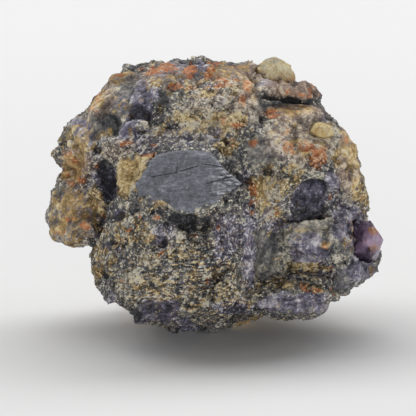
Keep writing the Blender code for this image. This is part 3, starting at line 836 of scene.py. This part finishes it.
def weather(mesh, relief):
    """Breaks the skin into ridges, steps, grit and pits, save on the smooth face, and returns its masks."""
    soften_hollows(mesh)
    places = vectors_of(mesh.vertices, "co")
    normals = vectors_of(mesh.vertices, "normal")
    points = show_points(places)
    pixels = photo_pixels(points)
    facing = normals @ np.array(OUT)
    shown = soft_step(facing, *SHOWN_FACING) * soft_step(points[:, 2], *SHOWN_DEPTH)
    masks = stain_masks(points, shown)
    rough = 1 - masks["smooth"]
    grainy = rough * (1 - 0.75 * masks["facet"])
    height = crease_height(pixels, CREASES, GROOVE_SHARE, RIDGE_SHARE) * shown + masks.pop("raised")
    height += crease_height(pixels, OUTLINE_SHIFTS) * soft_step(np.abs(facing), *LIMB_FACING)
    height += fracture_height(points, masks)
    height += BLADE_HEIGHT * grainy * plates(points @ BLADES, 1.0, 6.1)[0]
    height += grainy * sum(tall * swell(points, size, salt) for size, salt, tall in GRIT)
    numbers, _, near, _ = cells_round(points, PIT_CELL, 8.8)
    height -= PIT_DEPTH * (numbers[:, 1] < PIT_SHARE) * soft_step(near, 0.45, 0.1) * grainy
    height -= DARK_SINK * masks["dark"]
    places += normals * (height * rough * relief * MM)[:, None]
    places[:, 2] = np.maximum(places[:, 2], 0.0)
    move_vertices(mesh, places)
    # Painted highlight on edges and painted shade in nooks, from how far each place stands proud
    masks["wear"] = edge_light_and_nook_shade_of(mesh, places)
    return masks


def merged_copy(node_name, name):
    """A CAD node's form as a new object with its loose triangles joined."""
    shape = bmesh.new()
    shape.from_mesh(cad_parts[node_name].data)
    bmesh.ops.remove_doubles(shape, verts=shape.verts, dist=0.001 * MM)
    mesh = bpy.data.meshes.new(name)
    shape.to_mesh(mesh)
    shape.free()
    return new_object(name, mesh)


def settle(piece):
    """Makes the object's modifiers part of its mesh."""
    graph = bpy.context.evaluated_depsgraph_get()
    mesh = bpy.data.meshes.new_from_object(piece.evaluated_get(graph))
    mesh.name = piece.name
    piece.modifiers.clear()
    piece.data = mesh


def dress(piece, material, smooth=True):
    """Gives the piece its one material and smooth or flat faces."""
    mesh = piece.data
    mesh.polygons.foreach_set("use_smooth", np.full(len(mesh.polygons), smooth))
    mesh.materials.clear()
    mesh.materials.append(material)


def sum_of(tree, start, *terms):
    """A start value with each term, a pair of a value and its weight, added to it."""
    total = start
    for value, weight in terms:
        total = add_node(tree, "ShaderNodeMath", {0: value, 1: weight, 2: total}, operation="MULTIPLY_ADD")
    return total


def laid_over(tree, under, over, reach, low, high, most=1.0, area=1.0):
    """One colour over another from where a reach is low to where it is high, within an area."""
    share = add_node(tree, "ShaderNodeMapRange", {0: reach, 1: low, 2: high, 4: most}, **EASED)
    share = sum_of(tree, 0.0, (share, area))
    return add_node(tree, "ShaderNodeMix", {0: share, 6: under, 7: over}, data_type="RGBA")


def clouded(tree, place, width, detail, roughness=0.55, distortion=0.0):
    """Three unlike smooth noises, with features about as wide as the width."""
    inputs = {"Scale": 1 / width, "Detail": detail, "Roughness": roughness, "Distortion": distortion}
    made = add_node(tree, "ShaderNodeTexNoise", {"Vector": place, **inputs})
    return add_node(tree, "ShaderNodeSeparateColor", {0: made.outputs["Color"]}).outputs


def bent_place(tree, place, numbers, reach):
    """A place moved each way by a noise, so that straight patterns on it bend."""
    moved = add_node(tree, "ShaderNodeCombineXYZ", {0: numbers[0], 1: numbers[1], 2: numbers[2]})
    moved = add_node(tree, "ShaderNodeVectorMath", {0: moved, "Scale": 2 * reach}, operation="SCALE")
    return add_node(tree, "ShaderNodeVectorMath", {0: place, 1: moved}, operation="ADD")


def angular_grains(tree, place, width, stretch=(1.0, 1.0, 1.0)):
    """Angular grains about as wide as the width: three numbers for each grain, and a tilted facet on it."""
    finer = Vector(stretch) / width
    scaled = add_node(tree, "ShaderNodeVectorMath", {0: place, 1: finer}, operation="MULTIPLY")
    made = add_node(tree, "ShaderNodeTexVoronoi", {"Vector": scaled, "Scale": 1.0}).outputs
    away = add_node(tree, "ShaderNodeVectorMath", {0: scaled, 1: made["Position"]}, operation="SUBTRACT")
    middle = (0.5, 0.5, 0.5)
    lean = add_node(tree, "ShaderNodeVectorMath", {0: made["Color"], 1: middle}, operation="SUBTRACT")
    facet = add_node(tree, "ShaderNodeVectorMath", {0: away, 1: lean}, operation="DOT_PRODUCT")
    return add_node(tree, "ShaderNodeSeparateColor", {0: made["Color"]}).outputs, facet


def mineral(tree, tone, tints):
    """A mineral's colour for a tone from 0, darkest, as painted shade in its nooks, to 1, palest, as painted
    highlight on its edges.
    """
    ramp = add_node(tree, "ShaderNodeValToRGB", {0: tone})
    elements = ramp.color_ramp.elements
    while len(elements) < len(tints):
        elements.new(0.5)
    for element, place, tint in zip(elements, TONE_STOPS, tints):
        element.position = place
        element.color = opaque(linear(tint))
    return ramp


def face_place(pixel):
    """Where the photograph's camera sees a pixel, at the depth of the smooth face."""
    x, y = pixel
    away = ACROSS * (x - LUMP_PIXEL[0]) * PIXEL + UP * (LUMP_PIXEL[1] - y) * PIXEL
    return LUMP_MIDDLE + away * (1 - FACE_POINT.z * MM / VIEW_DISTANCE)


def crack_share(tree, place, start, end, width):
    """1 on a thin line between two pixels of the photograph, seen square to the show side."""
    start, end = face_place(start), face_place(end)
    way = end - start
    across = OUT.cross(way).normalized() / (width * MM)
    from_start = add_node(tree, "ShaderNodeVectorMath", {0: place, 1: start}, operation="SUBTRACT")
    along = {0: from_start, 1: way / way.length_squared}
    part = sum_of(tree, -0.5, (add_node(tree, "ShaderNodeVectorMath", along, operation="DOT_PRODUCT"), 1.0))
    side = add_node(tree, "ShaderNodeVectorMath", {0: from_start, 1: across}, operation="DOT_PRODUCT")
    shares = []
    for value, low, high in ((side, 0.4, 1.0), (part, 0.35, 0.52)):
        size = add_node(tree, "ShaderNodeMath", {0: value}, operation="ABSOLUTE")
        fall = {0: size, 1: low, 2: high, 3: 1.0, 4: 0.0}
        shares.append(add_node(tree, "ShaderNodeMapRange", fall, **EASED))
    return sum_of(tree, 0.0, shares)


def crust_patterns(tree):
    """The noises, grains and masks that the crust's looks are made of."""
    look = SimpleNamespace(place=add_node(tree, "ShaderNodeTexCoord").outputs["Object"])
    look.rightwards = add_node(tree, "ShaderNodeSeparateXYZ", {0: look.place})
    look.broad = clouded(tree, look.place, BROAD, 3.0)
    look.middle = clouded(tree, look.place, MIDDLE, 4.0, 0.6)
    look.fine = clouded(tree, look.place, FINE, 3.0, 0.6, 1.2)
    bent = bent_place(tree, look.place, look.fine, 0.12 * MM)
    leaning = add_node(tree, "ShaderNodeMapping", {"Vector": bent, "Rotation": (0, CHIP_LEAN, 0)})
    look.grain, look.grain_facet = angular_grains(tree, bent, GRAIN)
    look.chip, look.chip_facet = angular_grains(tree, leaning, CHIP, CHIP_STRETCH)
    look.fleck, look.fleck_facet = angular_grains(tree, bent, FLECK, FLECK_STRETCH)
    look.masks = {
        kind: add_node(tree, "ShaderNodeAttribute", attribute_name=kind).outputs["Fac"]
        for kind in ("smooth", *(PATCHES | TONE_WEIGHTS))
    }

    # The rim of the smooth face is chipped grain by grain, and the rest is granular but for its flat breaks
    edge = sum_of(tree, -0.45, (look.masks["smooth"], 1.0), (look.chip[1], 0.35))
    edge = sum_of(tree, edge, (look.grain[1], 0.3), (look.middle[2], 0.3))
    look.smooth = add_node(tree, "ShaderNodeMapRange", {0: edge, 1: 0.42, 2: 0.5}, **EASED)
    look.rough = sum_of(tree, 1.0, (look.smooth, -1.0))
    look.grainy = sum_of(tree, 0.0, (look.rough, sum_of(tree, 1.0, (look.masks["facet"], -0.88))))
    look.layered = sum_of(tree, 0.0, (look.grainy, look.masks["layered"]))
    return look


def crust_tone(tree, look):
    """The tone, from painted shade in nooks to painted highlight on edges, and from dark to pale grains; it
    is calmer off the granular crust.
    """
    pale = add_node(tree, "ShaderNodeMath", {0: look.grain[0], 1: 2.5}, operation="POWER")
    splinter = add_node(tree, "ShaderNodeMath", {0: look.chip[0], 1: 1.6}, operation="POWER")
    level = sum_of(tree, -0.3, (look.fleck[0], 0.6))
    grains = sum_of(tree, -0.4, (pale, 0.8), (splinter, 0.45), (look.layered, level))
    shown = add_node(tree, "ShaderNodeMapRange", {0: look.grainy, 3: 0.22}, **EASED)
    weights = [(look.masks[kind], weight) for kind, weight in TONE_WEIGHTS.items()]
    start = BASE_TONE - 0.5 * (1.0 + 0.6)
    tone = sum_of(tree, start, (grains, shown), (look.middle[0], 1.0), (look.fine[0], 0.6), *weights)

    # Dark patches, which are dark mineral and painted shade in hollows, eaten at their edges, then pale and
    # dark flecks along the layers
    eaten = sum_of(tree, -0.25, (look.masks["dark"], 1.0), (look.fine[2], 0.9))
    eaten = sum_of(tree, eaten, (look.grain[2], 0.15), (look.chip[2], -0.1))
    layered = look.layered
    for value, low, high, area, change in (
        (eaten, 0.7, 0.95, 1.0, -0.25),
        (look.fleck[2], 0.84, 0.88, layered, 0.35),
        (look.fleck[2], 0.14, 0.1, layered, -0.3),
    ):
        share = add_node(tree, "ShaderNodeMapRange", {0: value, 1: low, 2: high}, **EASED)
        tone = sum_of(tree, tone, (sum_of(tree, 0.0, (area, share)), change))
    return tone


def crust_colour(tree, look, tone):
    """Grey fluorite going to violet, tinted brown by weathering and stained by iron along its grains."""
    masks, middle, grain, chip = look.masks, look.middle, look.grain, look.chip
    colour = mineral(tree, tone, GREY_TINTS)
    reach = sum_of(tree, -0.08, (masks["violet"], 0.4), (look.broad[1], 1.0), (chip[2], 0.16))
    colour = laid_over(tree, colour, mineral(tree, tone, VIOLET_TINTS), reach, 0.5, 0.8, 0.95)
    reach = sum_of(tree, -0.35, (masks["warm"], 1.0), (look.fine[1], 0.7))
    colour = laid_over(tree, colour, mineral(tree, tone, BROWN_TINTS), reach, 0.0, 1.0, 0.85)

    # Ochre lies in patches and in flecks of the layers, whichever is stronger
    reach = sum_of(tree, 0.02, (masks["ochre"], 0.27), (middle[1], 0.6), (chip[1], 0.16), (grain[1], 0.1))
    patches = add_node(tree, "ShaderNodeMapRange", {0: reach, 1: 0.56, 2: 0.66, 4: 0.88}, **EASED)
    flecks = add_node(tree, "ShaderNodeMapRange", {0: look.fleck[1], 1: 0.68, 2: 0.72, 4: 0.75}, **EASED)
    flecks = sum_of(tree, 0.0, (look.layered, flecks))
    share = add_node(tree, "ShaderNodeMath", {0: patches, 1: flecks}, operation="MAXIMUM")
    share = sum_of(tree, 0.0, (share, look.rough))
    ochre = mineral(tree, tone, OCHRE_TINTS)
    colour = add_node(tree, "ShaderNodeMix", {0: share, 6: colour, 7: ochre}, data_type="RGBA")
    reach = sum_of(tree, 0.04, (masks["rust"], 0.28), (middle[2], 0.58), (chip[1], 0.14), (grain[2], 0.1))
    return laid_over(tree, colour, mineral(tree, tone, RUST_TINTS), reach, 0.6, 0.66, 0.92, look.rough)


def face_looks(tree, look):
    """The smooth face: one blue-grey, scratched, cracked and splintered to the right."""
    turned = add_node(
        tree,
        "ShaderNodeMapping",
        {"Vector": look.place, "Rotation": (0, SCRATCH_LEAN, 0), "Scale": SCRATCH_STRETCH},
    )
    scratches = clouded(tree, turned, SCRATCH, 4.0, 0.65, 0.5)
    x = look.rightwards
    splinters = add_node(tree, "ShaderNodeMapRange", {0: x, 1: -3 * MM, 2: 5 * MM, 3: 0.9, 4: 3.6}, **EASED)
    lighter = add_node(tree, "ShaderNodeMapRange", {0: x, 1: -12 * MM, 2: 6 * MM}, **EASED)
    streaks = sum_of(tree, -0.5, (scratches[0], 1.0))
    tone = sum_of(tree, -0.2, (streaks, splinters), (look.middle[0], 0.7), (look.fine[1], 0.6))
    tone = sum_of(tree, tone, (look.grain[0], 0.2), (lighter, 0.1))
    crack = 0.0
    for line in CRACKS:
        share = crack_share(tree, look.place, *line)
        crack = add_node(tree, "ShaderNodeMath", {0: share, 1: crack}, operation="MAXIMUM")
    broken = {0: look.grain[1], 1: 0.1, 2: 0.4, 3: 0.35, 4: 0.95}
    crack = sum_of(tree, 0.0, (crack, add_node(tree, "ShaderNodeMapRange", broken, **EASED)))
    colours = {0: crack, 6: mineral(tree, tone, FACE_TINTS), 7: opaque(linear(CRACK_TINT))}
    return add_node(tree, "ShaderNodeMix", colours, data_type="RGBA"), crack, scratches


def fluorite_matrix():
    """Weathered fluorite, broken by hand and stained by iron: dull, gritty, dark between pale grains."""
    material, tree, shader = new_material("fluorite_matrix_weathered")
    look = crust_patterns(tree)
    crust = crust_colour(tree, look, crust_tone(tree, look))
    face, crack, scratches = face_looks(tree, look)
    colour = add_node(tree, "ShaderNodeMix", {0: look.smooth, 6: crust, 7: face}, data_type="RGBA")

    # Dull, with a glassy glint on a few grains
    glint = add_node(tree, "ShaderNodeMapRange", {0: look.chip[2], 1: 0.8, 2: 0.9, 3: 0.75, 4: 0.3}, **EASED)

    # Facets of the grains as bump, with only fine scratches and the cracks on the smooth face
    lumps = sum_of(tree, 0.0, (look.chip_facet, 0.9 * CHIP), (look.grain_facet, 0.9 * GRAIN))
    lumps = sum_of(tree, lumps, (look.fleck_facet, 0.5 * FLECK), (look.middle[1], 0.8 * MM))
    shown = add_node(tree, "ShaderNodeMapRange", {0: look.grainy, 3: 0.25}, **EASED)
    lumps = sum_of(tree, 0.0, (lumps, shown), (crack, -0.2 * MM), (scratches[1], 0.12 * MM))
    set_inputs(tree, shader, {
        "Base Color": colour,
        "Roughness": sum_of(tree, glint, (look.smooth, -0.1)),
        "IOR": FLUORITE_IOR,
        "Normal": add_node(tree, "ShaderNodeBump", {"Strength": 1.0, "Distance": 1.0, "Height": lumps}),
    })
    return material


def grain_material(name, darkest, lightest, roughness):
    """Single mineral grains of the crust, each with its own tone between two colours."""
    material, tree, shader = new_material(name)
    tone = add_node(tree, "ShaderNodeAttribute", attribute_name="tone").outputs["Fac"]
    colours = {0: tone, 6: opaque(linear(darkest)), 7: opaque(linear(lightest))}
    colour = add_node(tree, "ShaderNodeMix", colours, data_type="RGBA")
    set_inputs(tree, shader, {"Base Color": colour, "Roughness": roughness})
    return material


def stained(tree, colour, stains, noises):
    """The colour with listed stains over it, each eaten by a noise at its edge."""
    for kind, tint, noise, channel in stains:
        mask = add_node(tree, "ShaderNodeAttribute", attribute_name=kind).outputs["Fac"]
        reach = sum_of(tree, -0.65, (mask, 0.7), (noises[noise][channel], 1.6))
        colour = laid_over(tree, colour, opaque(linear(tint)), reach, 0.25, 1.0, 0.8)
    return colour


def beryl_waxy(settings):
    """Common beryl, water-worn: waxy and cloudy, so light goes in a little, with iron stain in its flaws."""
    material, tree, shader = new_material("beryl_cloudy")
    place = add_node(tree, "ShaderNodeTexCoord").outputs["Object"]
    cloud = clouded(tree, place, BERYL_CLOUD, 4.0, 0.6, 0.8)
    speck = clouded(tree, place, BERYL_SPECK, 3.0, 0.6)
    colour = laid_over(tree, opaque(settings.beryl), opaque(settings.beryl_stain), cloud[0], 0.42, 0.66, 0.7)
    colour = stained(tree, colour, BERYL_STAINS, {"cloud": cloud, "speck": speck})
    lumps = sum_of(tree, 0.0, (cloud[0], 1.0 * MM), (speck[1], 0.5 * MM))
    worn = {0: speck[0], 1: 0.4, 2: 0.6, 3: 0.22, 4: 0.5}
    set_inputs(tree, shader, {
        "Base Color": laid_over(tree, colour, opaque(linear(BERYL_FLAW_TINT)), speck[2], 0.6, 0.7, 0.4),
        "Roughness": add_node(tree, "ShaderNodeMapRange", worn, **EASED),
        "IOR": BERYL_IOR,
        "Transmission Weight": 0.2,
        "Normal": add_node(tree, "ShaderNodeBump", {"Strength": 0.8, "Distance": 1.0, "Height": lumps}),
    })
    return material


def purple_glassy(settings):
    """Purple fluorite with fresh faces: glassy, with cloudy bands, lilac where light comes back out."""
    material, tree, shader = new_material("purple_fluorite_glassy")
    place = add_node(tree, "ShaderNodeTexCoord").outputs["Object"]
    cloud = clouded(tree, place, PURPLE_CLOUD, 4.0, 0.6, 0.8)
    speck = clouded(tree, place, PURPLE_SPECK, 3.0, 0.6)
    deep = opaque(linear(DEEP_PURPLE_TINT))
    colour = laid_over(tree, deep, opaque(settings.purple), cloud[0], 0.38, 0.62)
    bump = {"Strength": 0.5, "Distance": 0.4 * MM, "Height": speck[2]}
    set_inputs(tree, shader, {
        "Base Color": stained(tree, colour, PURPLE_STAINS_AND_HIGHLIGHT, {"cloud": cloud, "speck": speck}),
        "Roughness": 0.16,
        "IOR": FLUORITE_IOR,
        "Transmission Weight": 0.2,
        "Normal": add_node(tree, "ShaderNodeBump", bump),
    })
    return material


def build_lump(settings):
    """The lump's skin: the CAD form remade with an even fine skin, weathered and stained."""
    piece = merged_copy("fluorite_rock", "fluorite_skin")
    skin = piece.modifiers.new("even_skin", "REMESH")
    skin.mode = "VOXEL"
    skin.voxel_size = settings.skin_step
    settle(piece)
    for kind, mask in weather(piece.data, settings.relief).items():
        store(piece.data, kind, mask)
    dress(piece, fluorite_matrix())
    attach(piece, BODY)
    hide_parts("fluorite_rock")


def grain_tree():
    """Geometry nodes: angular grains set on a surface where a mask is high."""
    group = bpy.data.node_groups.new("crust_grains", "GeometryNodeTree")
    for name, kind in GRAIN_INPUTS.items():
        group.interface.new_socket(name, in_out="INPUT", socket_type=kind)
    group.interface.new_socket("Grains", in_out="OUTPUT", socket_type="NodeSocketGeometry")
    given = add_node(group, "NodeGroupInput").outputs
    seed = given["Seed"]
    mask = add_node(group, "GeometryNodeInputNamedAttribute", {"Name": given["Mask"]}, data_type="FLOAT")
    density = add_node(group, "ShaderNodeMath", {0: mask, 1: given["Density"]}, operation="MULTIPLY")
    spots = {"Mesh": given["Geometry"], "Density": density, "Seed": seed}
    any_turn = {0: (0, 0, 0), 1: (math.tau, math.tau, math.tau), "Seed": seed}
    least, most = GRAIN_STRETCH
    stretch = add_node(
        group, "FunctionNodeRandomValue", {0: least, 1: most, "Seed": 3}, data_type="FLOAT_VECTOR"
    )
    scale = {0: stretch, "Scale": given["Grain Size"]}
    placed = add_node(group, "GeometryNodeInstanceOnPoints", {
        "Points": add_node(group, "GeometryNodeDistributePointsOnFaces", spots),
        "Instance": add_node(group, "GeometryNodeMeshIcoSphere", {"Radius": 0.5, "Subdivisions": 1}),
        "Rotation": add_node(group, "FunctionNodeRandomValue", any_turn, data_type="FLOAT_VECTOR"),
        "Scale": add_node(group, "ShaderNodeVectorMath", scale, operation="SCALE"),
    })
    tone = add_node(group, "FunctionNodeRandomValue", {2: 0.0, 3: 1.0, "Seed": 5}, data_type="FLOAT")
    toned = {"Geometry": placed, "Name": "tone", "Value": tone}
    toned = add_node(group, "GeometryNodeStoreNamedAttribute", toned, data_type="FLOAT", domain="INSTANCE")
    real = add_node(group, "GeometryNodeRealizeInstances", {"Geometry": toned})
    dressed = add_node(group, "GeometryNodeSetMaterial", {"Geometry": real, "Material": given["Material"]})
    add_node(group, "NodeGroupOutput", {"Grains": dressed})
    return group


def mask_grains(mesh):
    """Stores where pale and dark grains lie: on the granular crust, each kind by the stains there."""
    masks = {}
    for kind in ("smooth", "facet", "cream", "ochre", "rust", "dark"):
        masks[kind] = np.empty(len(mesh.vertices), np.float32)
        mesh.attributes[kind].data.foreach_get("value", masks[kind])
    off_foot = soft_step(vectors_of(mesh.vertices, "co")[:, 2] / MM, *GRAIN_FLOOR)
    grainy = (1 - masks["smooth"]) * (1 - 0.8 * masks["facet"]) * off_foot
    pale = np.clip(0.25 + masks["cream"] + 0.5 * masks["ochre"] - 0.6 * masks["dark"], 0, 1)
    dark = np.clip(0.8 - 0.6 * masks["cream"] - 0.5 * masks["ochre"] - 0.5 * masks["rust"], 0, 1)
    store(mesh, "pale_grain", grainy * pale)
    store(mesh, "dark_grain", grainy * dark)


def build_grains(settings):
    """Pale and dark grains of the crust, each kind one mesh."""
    skin = bpy.data.objects["fluorite_skin"]
    mask_grains(skin.data)
    group = grain_tree()
    sockets = {item.name: item.identifier for item in group.interface.items_tree}
    densities = {"pale_grains": settings.pale_density, "dark_grains": settings.dark_density}
    for offset, (name, (mask, darkest, lightest, roughness)) in enumerate(GRAIN_KINDS.items()):
        mesh = skin.data.copy()
        mesh.name = name
        piece = new_object(name, mesh)
        modifier = piece.modifiers.new("grains", "NODES")
        modifier.node_group = group
        modifier[sockets["Grain Size"]] = settings.size
        modifier[sockets["Density"]] = densities[name]
        modifier[sockets["Seed"]] = settings.seed + offset
        modifier[sockets["Mask"]] = mask
        modifier[sockets["Material"]] = grain_material(name, darkest, lightest, roughness)
        settle(piece)
        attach(piece, BODY)


def near_rock(places):
    """1 where a place touches the lump's skin, falling to 0 farther off."""
    skin = bpy.data.objects["fluorite_skin"].data
    rock = BVHTree.FromPolygons([v.co for v in skin.vertices], [p.vertices for p in skin.polygons])
    away = np.array([rock.find_nearest(Vector(place))[3] for place in places])
    return soft_step(away / MM, *RIM_REACH)


def build_crystal(node_name, material):
    """A crystal's CAD form, worn round or with finer facets pressed into it, and its stain masks."""
    name, finish, grown, relief, slot = CRYSTALS[node_name]
    piece = merged_copy(node_name, name)
    finer = piece.modifiers.new("finer", "SUBSURF")
    finer.subdivision_type = finish
    finer.levels = finer.render_levels = CRYSTAL_LEVELS
    settle(piece)
    mesh = piece.data
    places = vectors_of(mesh.vertices, "co")
    away = places - places.mean(axis=0)
    away /= np.linalg.norm(away, axis=1)[:, None]
    points = show_points(places)
    facets = plates(points, CRYSTAL_FACET, 6.6)[0]
    rise = grown + relief * (0.6 * facets + 0.5 * swell(points, CRYSTAL_SWELL, 2.2))
    places += away * (rise * MM)[:, None]
    move_vertices(mesh, places)
    pixels = photo_pixels(show_points(places))
    shown = soft_step(vectors_of(mesh.vertices, "normal") @ np.array(OUT), *CRYSTAL_FACING)
    for kind, patches in CRYSTAL_PATCHES.items():
        hidden = 0.8 * soft_step(swell(points, CRYSTAL_STAIN, len(kind) + 0.6), 0.15, 0.5) * (1 - shown)
        store(mesh, kind, np.maximum(patch_mask(pixels, patches) * shown, hidden))
    store(mesh, "rim", near_rock(places))
    dress(piece, material, finish == "CATMULL_CLARK")
    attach(piece, BODY)
    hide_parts(node_name)


def build_stage(settings):
    """The pale floor, the soft lights, the even light and the camera."""
    shape = bmesh.new()
    bmesh.ops.create_grid(shape, x_segments=1, y_segments=1, size=FLOOR_REACH)
    mesh = bpy.data.meshes.new("pale_floor")
    shape.to_mesh(mesh)
    shape.free()
    # Matt paper, which gives an even pale ground with soft shadows
    material, tree, shader = new_material("pale_floor_paper")
    set_inputs(tree, shader, {"Base Color": opaque(settings.floor), "Roughness": 0.9})
    mesh.materials.append(material)
    floor = new_object("pale_floor", mesh)

    for name, (place, aim, width, height, power) in LIGHTS.items():
        light = bpy.data.lights.new(name, "AREA")
        light.shape = "RECTANGLE"
        light.size = width
        light.size_y = height
        light.energy = getattr(settings, power)
        lamp = new_object(name, light)
        lamp.location = place
        lamp.rotation_euler = (Vector(aim) - Vector(place)).to_track_quat("-Z", "Y").to_euler()

    world = bpy.data.worlds.new("even_light")
    world.use_nodes = True
    background = world.node_tree.nodes["Background"]
    set_inputs(world.node_tree, background, {"Strength": settings.sky, "Color": (1, 1, 1, 1)})
    bpy.context.scene.world = world
    bpy.context.scene.view_settings.view_transform = "Standard"

    data = bpy.data.cameras.new("camera")
    data.lens = LENS
    data.sensor_width = SENSOR
    data.clip_start = 0.01
    camera = new_object("camera", data)
    middle = PHOTO_WIDTH / 2
    slide = ACROSS * (middle - LUMP_PIXEL[0]) * PIXEL + UP * (LUMP_PIXEL[1] - middle) * PIXEL
    turn = Matrix((ACROSS, UP, OUT)).transposed().to_4x4()
    camera.matrix_world = Matrix.Translation(VIEW_POINT + slide) @ turn
    bpy.context.scene.camera = camera


class SPECIMEN_OT_stage(bpy.types.Operator):
    """Builds the floor, the lights and the camera"""

    bl_idname = "specimen.stage"
    bl_label = "Stage"

    def execute(self, context):
        build_stage(context.scene.specimen_stage)
        return {"FINISHED"}


class SPECIMEN_OT_lump(bpy.types.Operator):
    """Builds the weathered and stained lump"""

    bl_idname = "specimen.lump"
    bl_label = "Lump"

    def execute(self, context):
        build_lump(context.scene.specimen_lump)
        return {"FINISHED"}


class SPECIMEN_OT_grains(bpy.types.Operator):
    """Sets the pale and dark grains on the lump's crust"""

    bl_idname = "specimen.grains"
    bl_label = "Crust grains"

    def execute(self, context):
        build_grains(context.scene.specimen_grains)
        return {"FINISHED"}


class SPECIMEN_OT_beryl(bpy.types.Operator):
    """Builds the pale beryl bead and the knob on the top edge"""

    bl_idname = "specimen.beryl"
    bl_label = "Beryl"

    def execute(self, context):
        material = beryl_waxy(context.scene.specimen_crystals)
        build_crystal("beryl_bead", material)
        build_crystal("beryl_knob", material)
        return {"FINISHED"}


class SPECIMEN_OT_purple_crystal(bpy.types.Operator):
    """Builds the glassy purple crystal on the right edge"""

    bl_idname = "specimen.purple_crystal"
    bl_label = "Purple crystal"

    def execute(self, context):
        build_crystal("purple_crystal", purple_glassy(context.scene.specimen_crystals))
        return {"FINISHED"}


class SPECIMEN_PT_panel(bpy.types.Panel):
    """Lists the specimen's settings and the operators that build it"""

    bl_idname = "SPECIMEN_PT_panel"
    bl_label = "Rough Beryl in Fluorite"
    bl_space_type = "VIEW_3D"
    bl_region_type = "UI"
    bl_category = "Specimen"

    def draw(self, context):
        for group, operators in BUILD_ORDER.items():
            box = self.layout.box()
            settings = getattr(context.scene, group)
            for name in settings.__annotations__:
                box.prop(settings, name)
            for operator in operators:
                box.operator(operator)


BUILD_ORDER = {
    "specimen_stage": ("specimen.stage",),
    "specimen_lump": ("specimen.lump",),
    "specimen_grains": ("specimen.grains",),
    "specimen_crystals": ("specimen.beryl", "specimen.purple_crystal"),
}
SETTINGS = {
    "specimen_stage": StageSettings,
    "specimen_lump": LumpSettings,
    "specimen_grains": GrainSettings,
    "specimen_crystals": CrystalSettings,
}
CLASSES = (
    *SETTINGS.values(),
    SPECIMEN_OT_lump,
    SPECIMEN_OT_grains,
    SPECIMEN_OT_beryl,
    SPECIMEN_OT_purple_crystal,
    SPECIMEN_OT_stage,
    SPECIMEN_PT_panel,
)


def register():
    for kind in CLASSES:
        bpy.utils.register_class(kind)
    for name, kind in SETTINGS.items():
        setattr(bpy.types.Scene, name, PointerProperty(type=kind))


def unregister():
    for name in SETTINGS:
        delattr(bpy.types.Scene, name)
    for kind in reversed(CLASSES):
        bpy.utils.unregister_class(kind)


def main():
    register()
    bpy.ops.specimen.stage()
    bpy.ops.specimen.lump()
    bpy.ops.specimen.grains()
    bpy.ops.specimen.beryl()
    bpy.ops.specimen.purple_crystal()


if __name__ == "__main__":
    main()
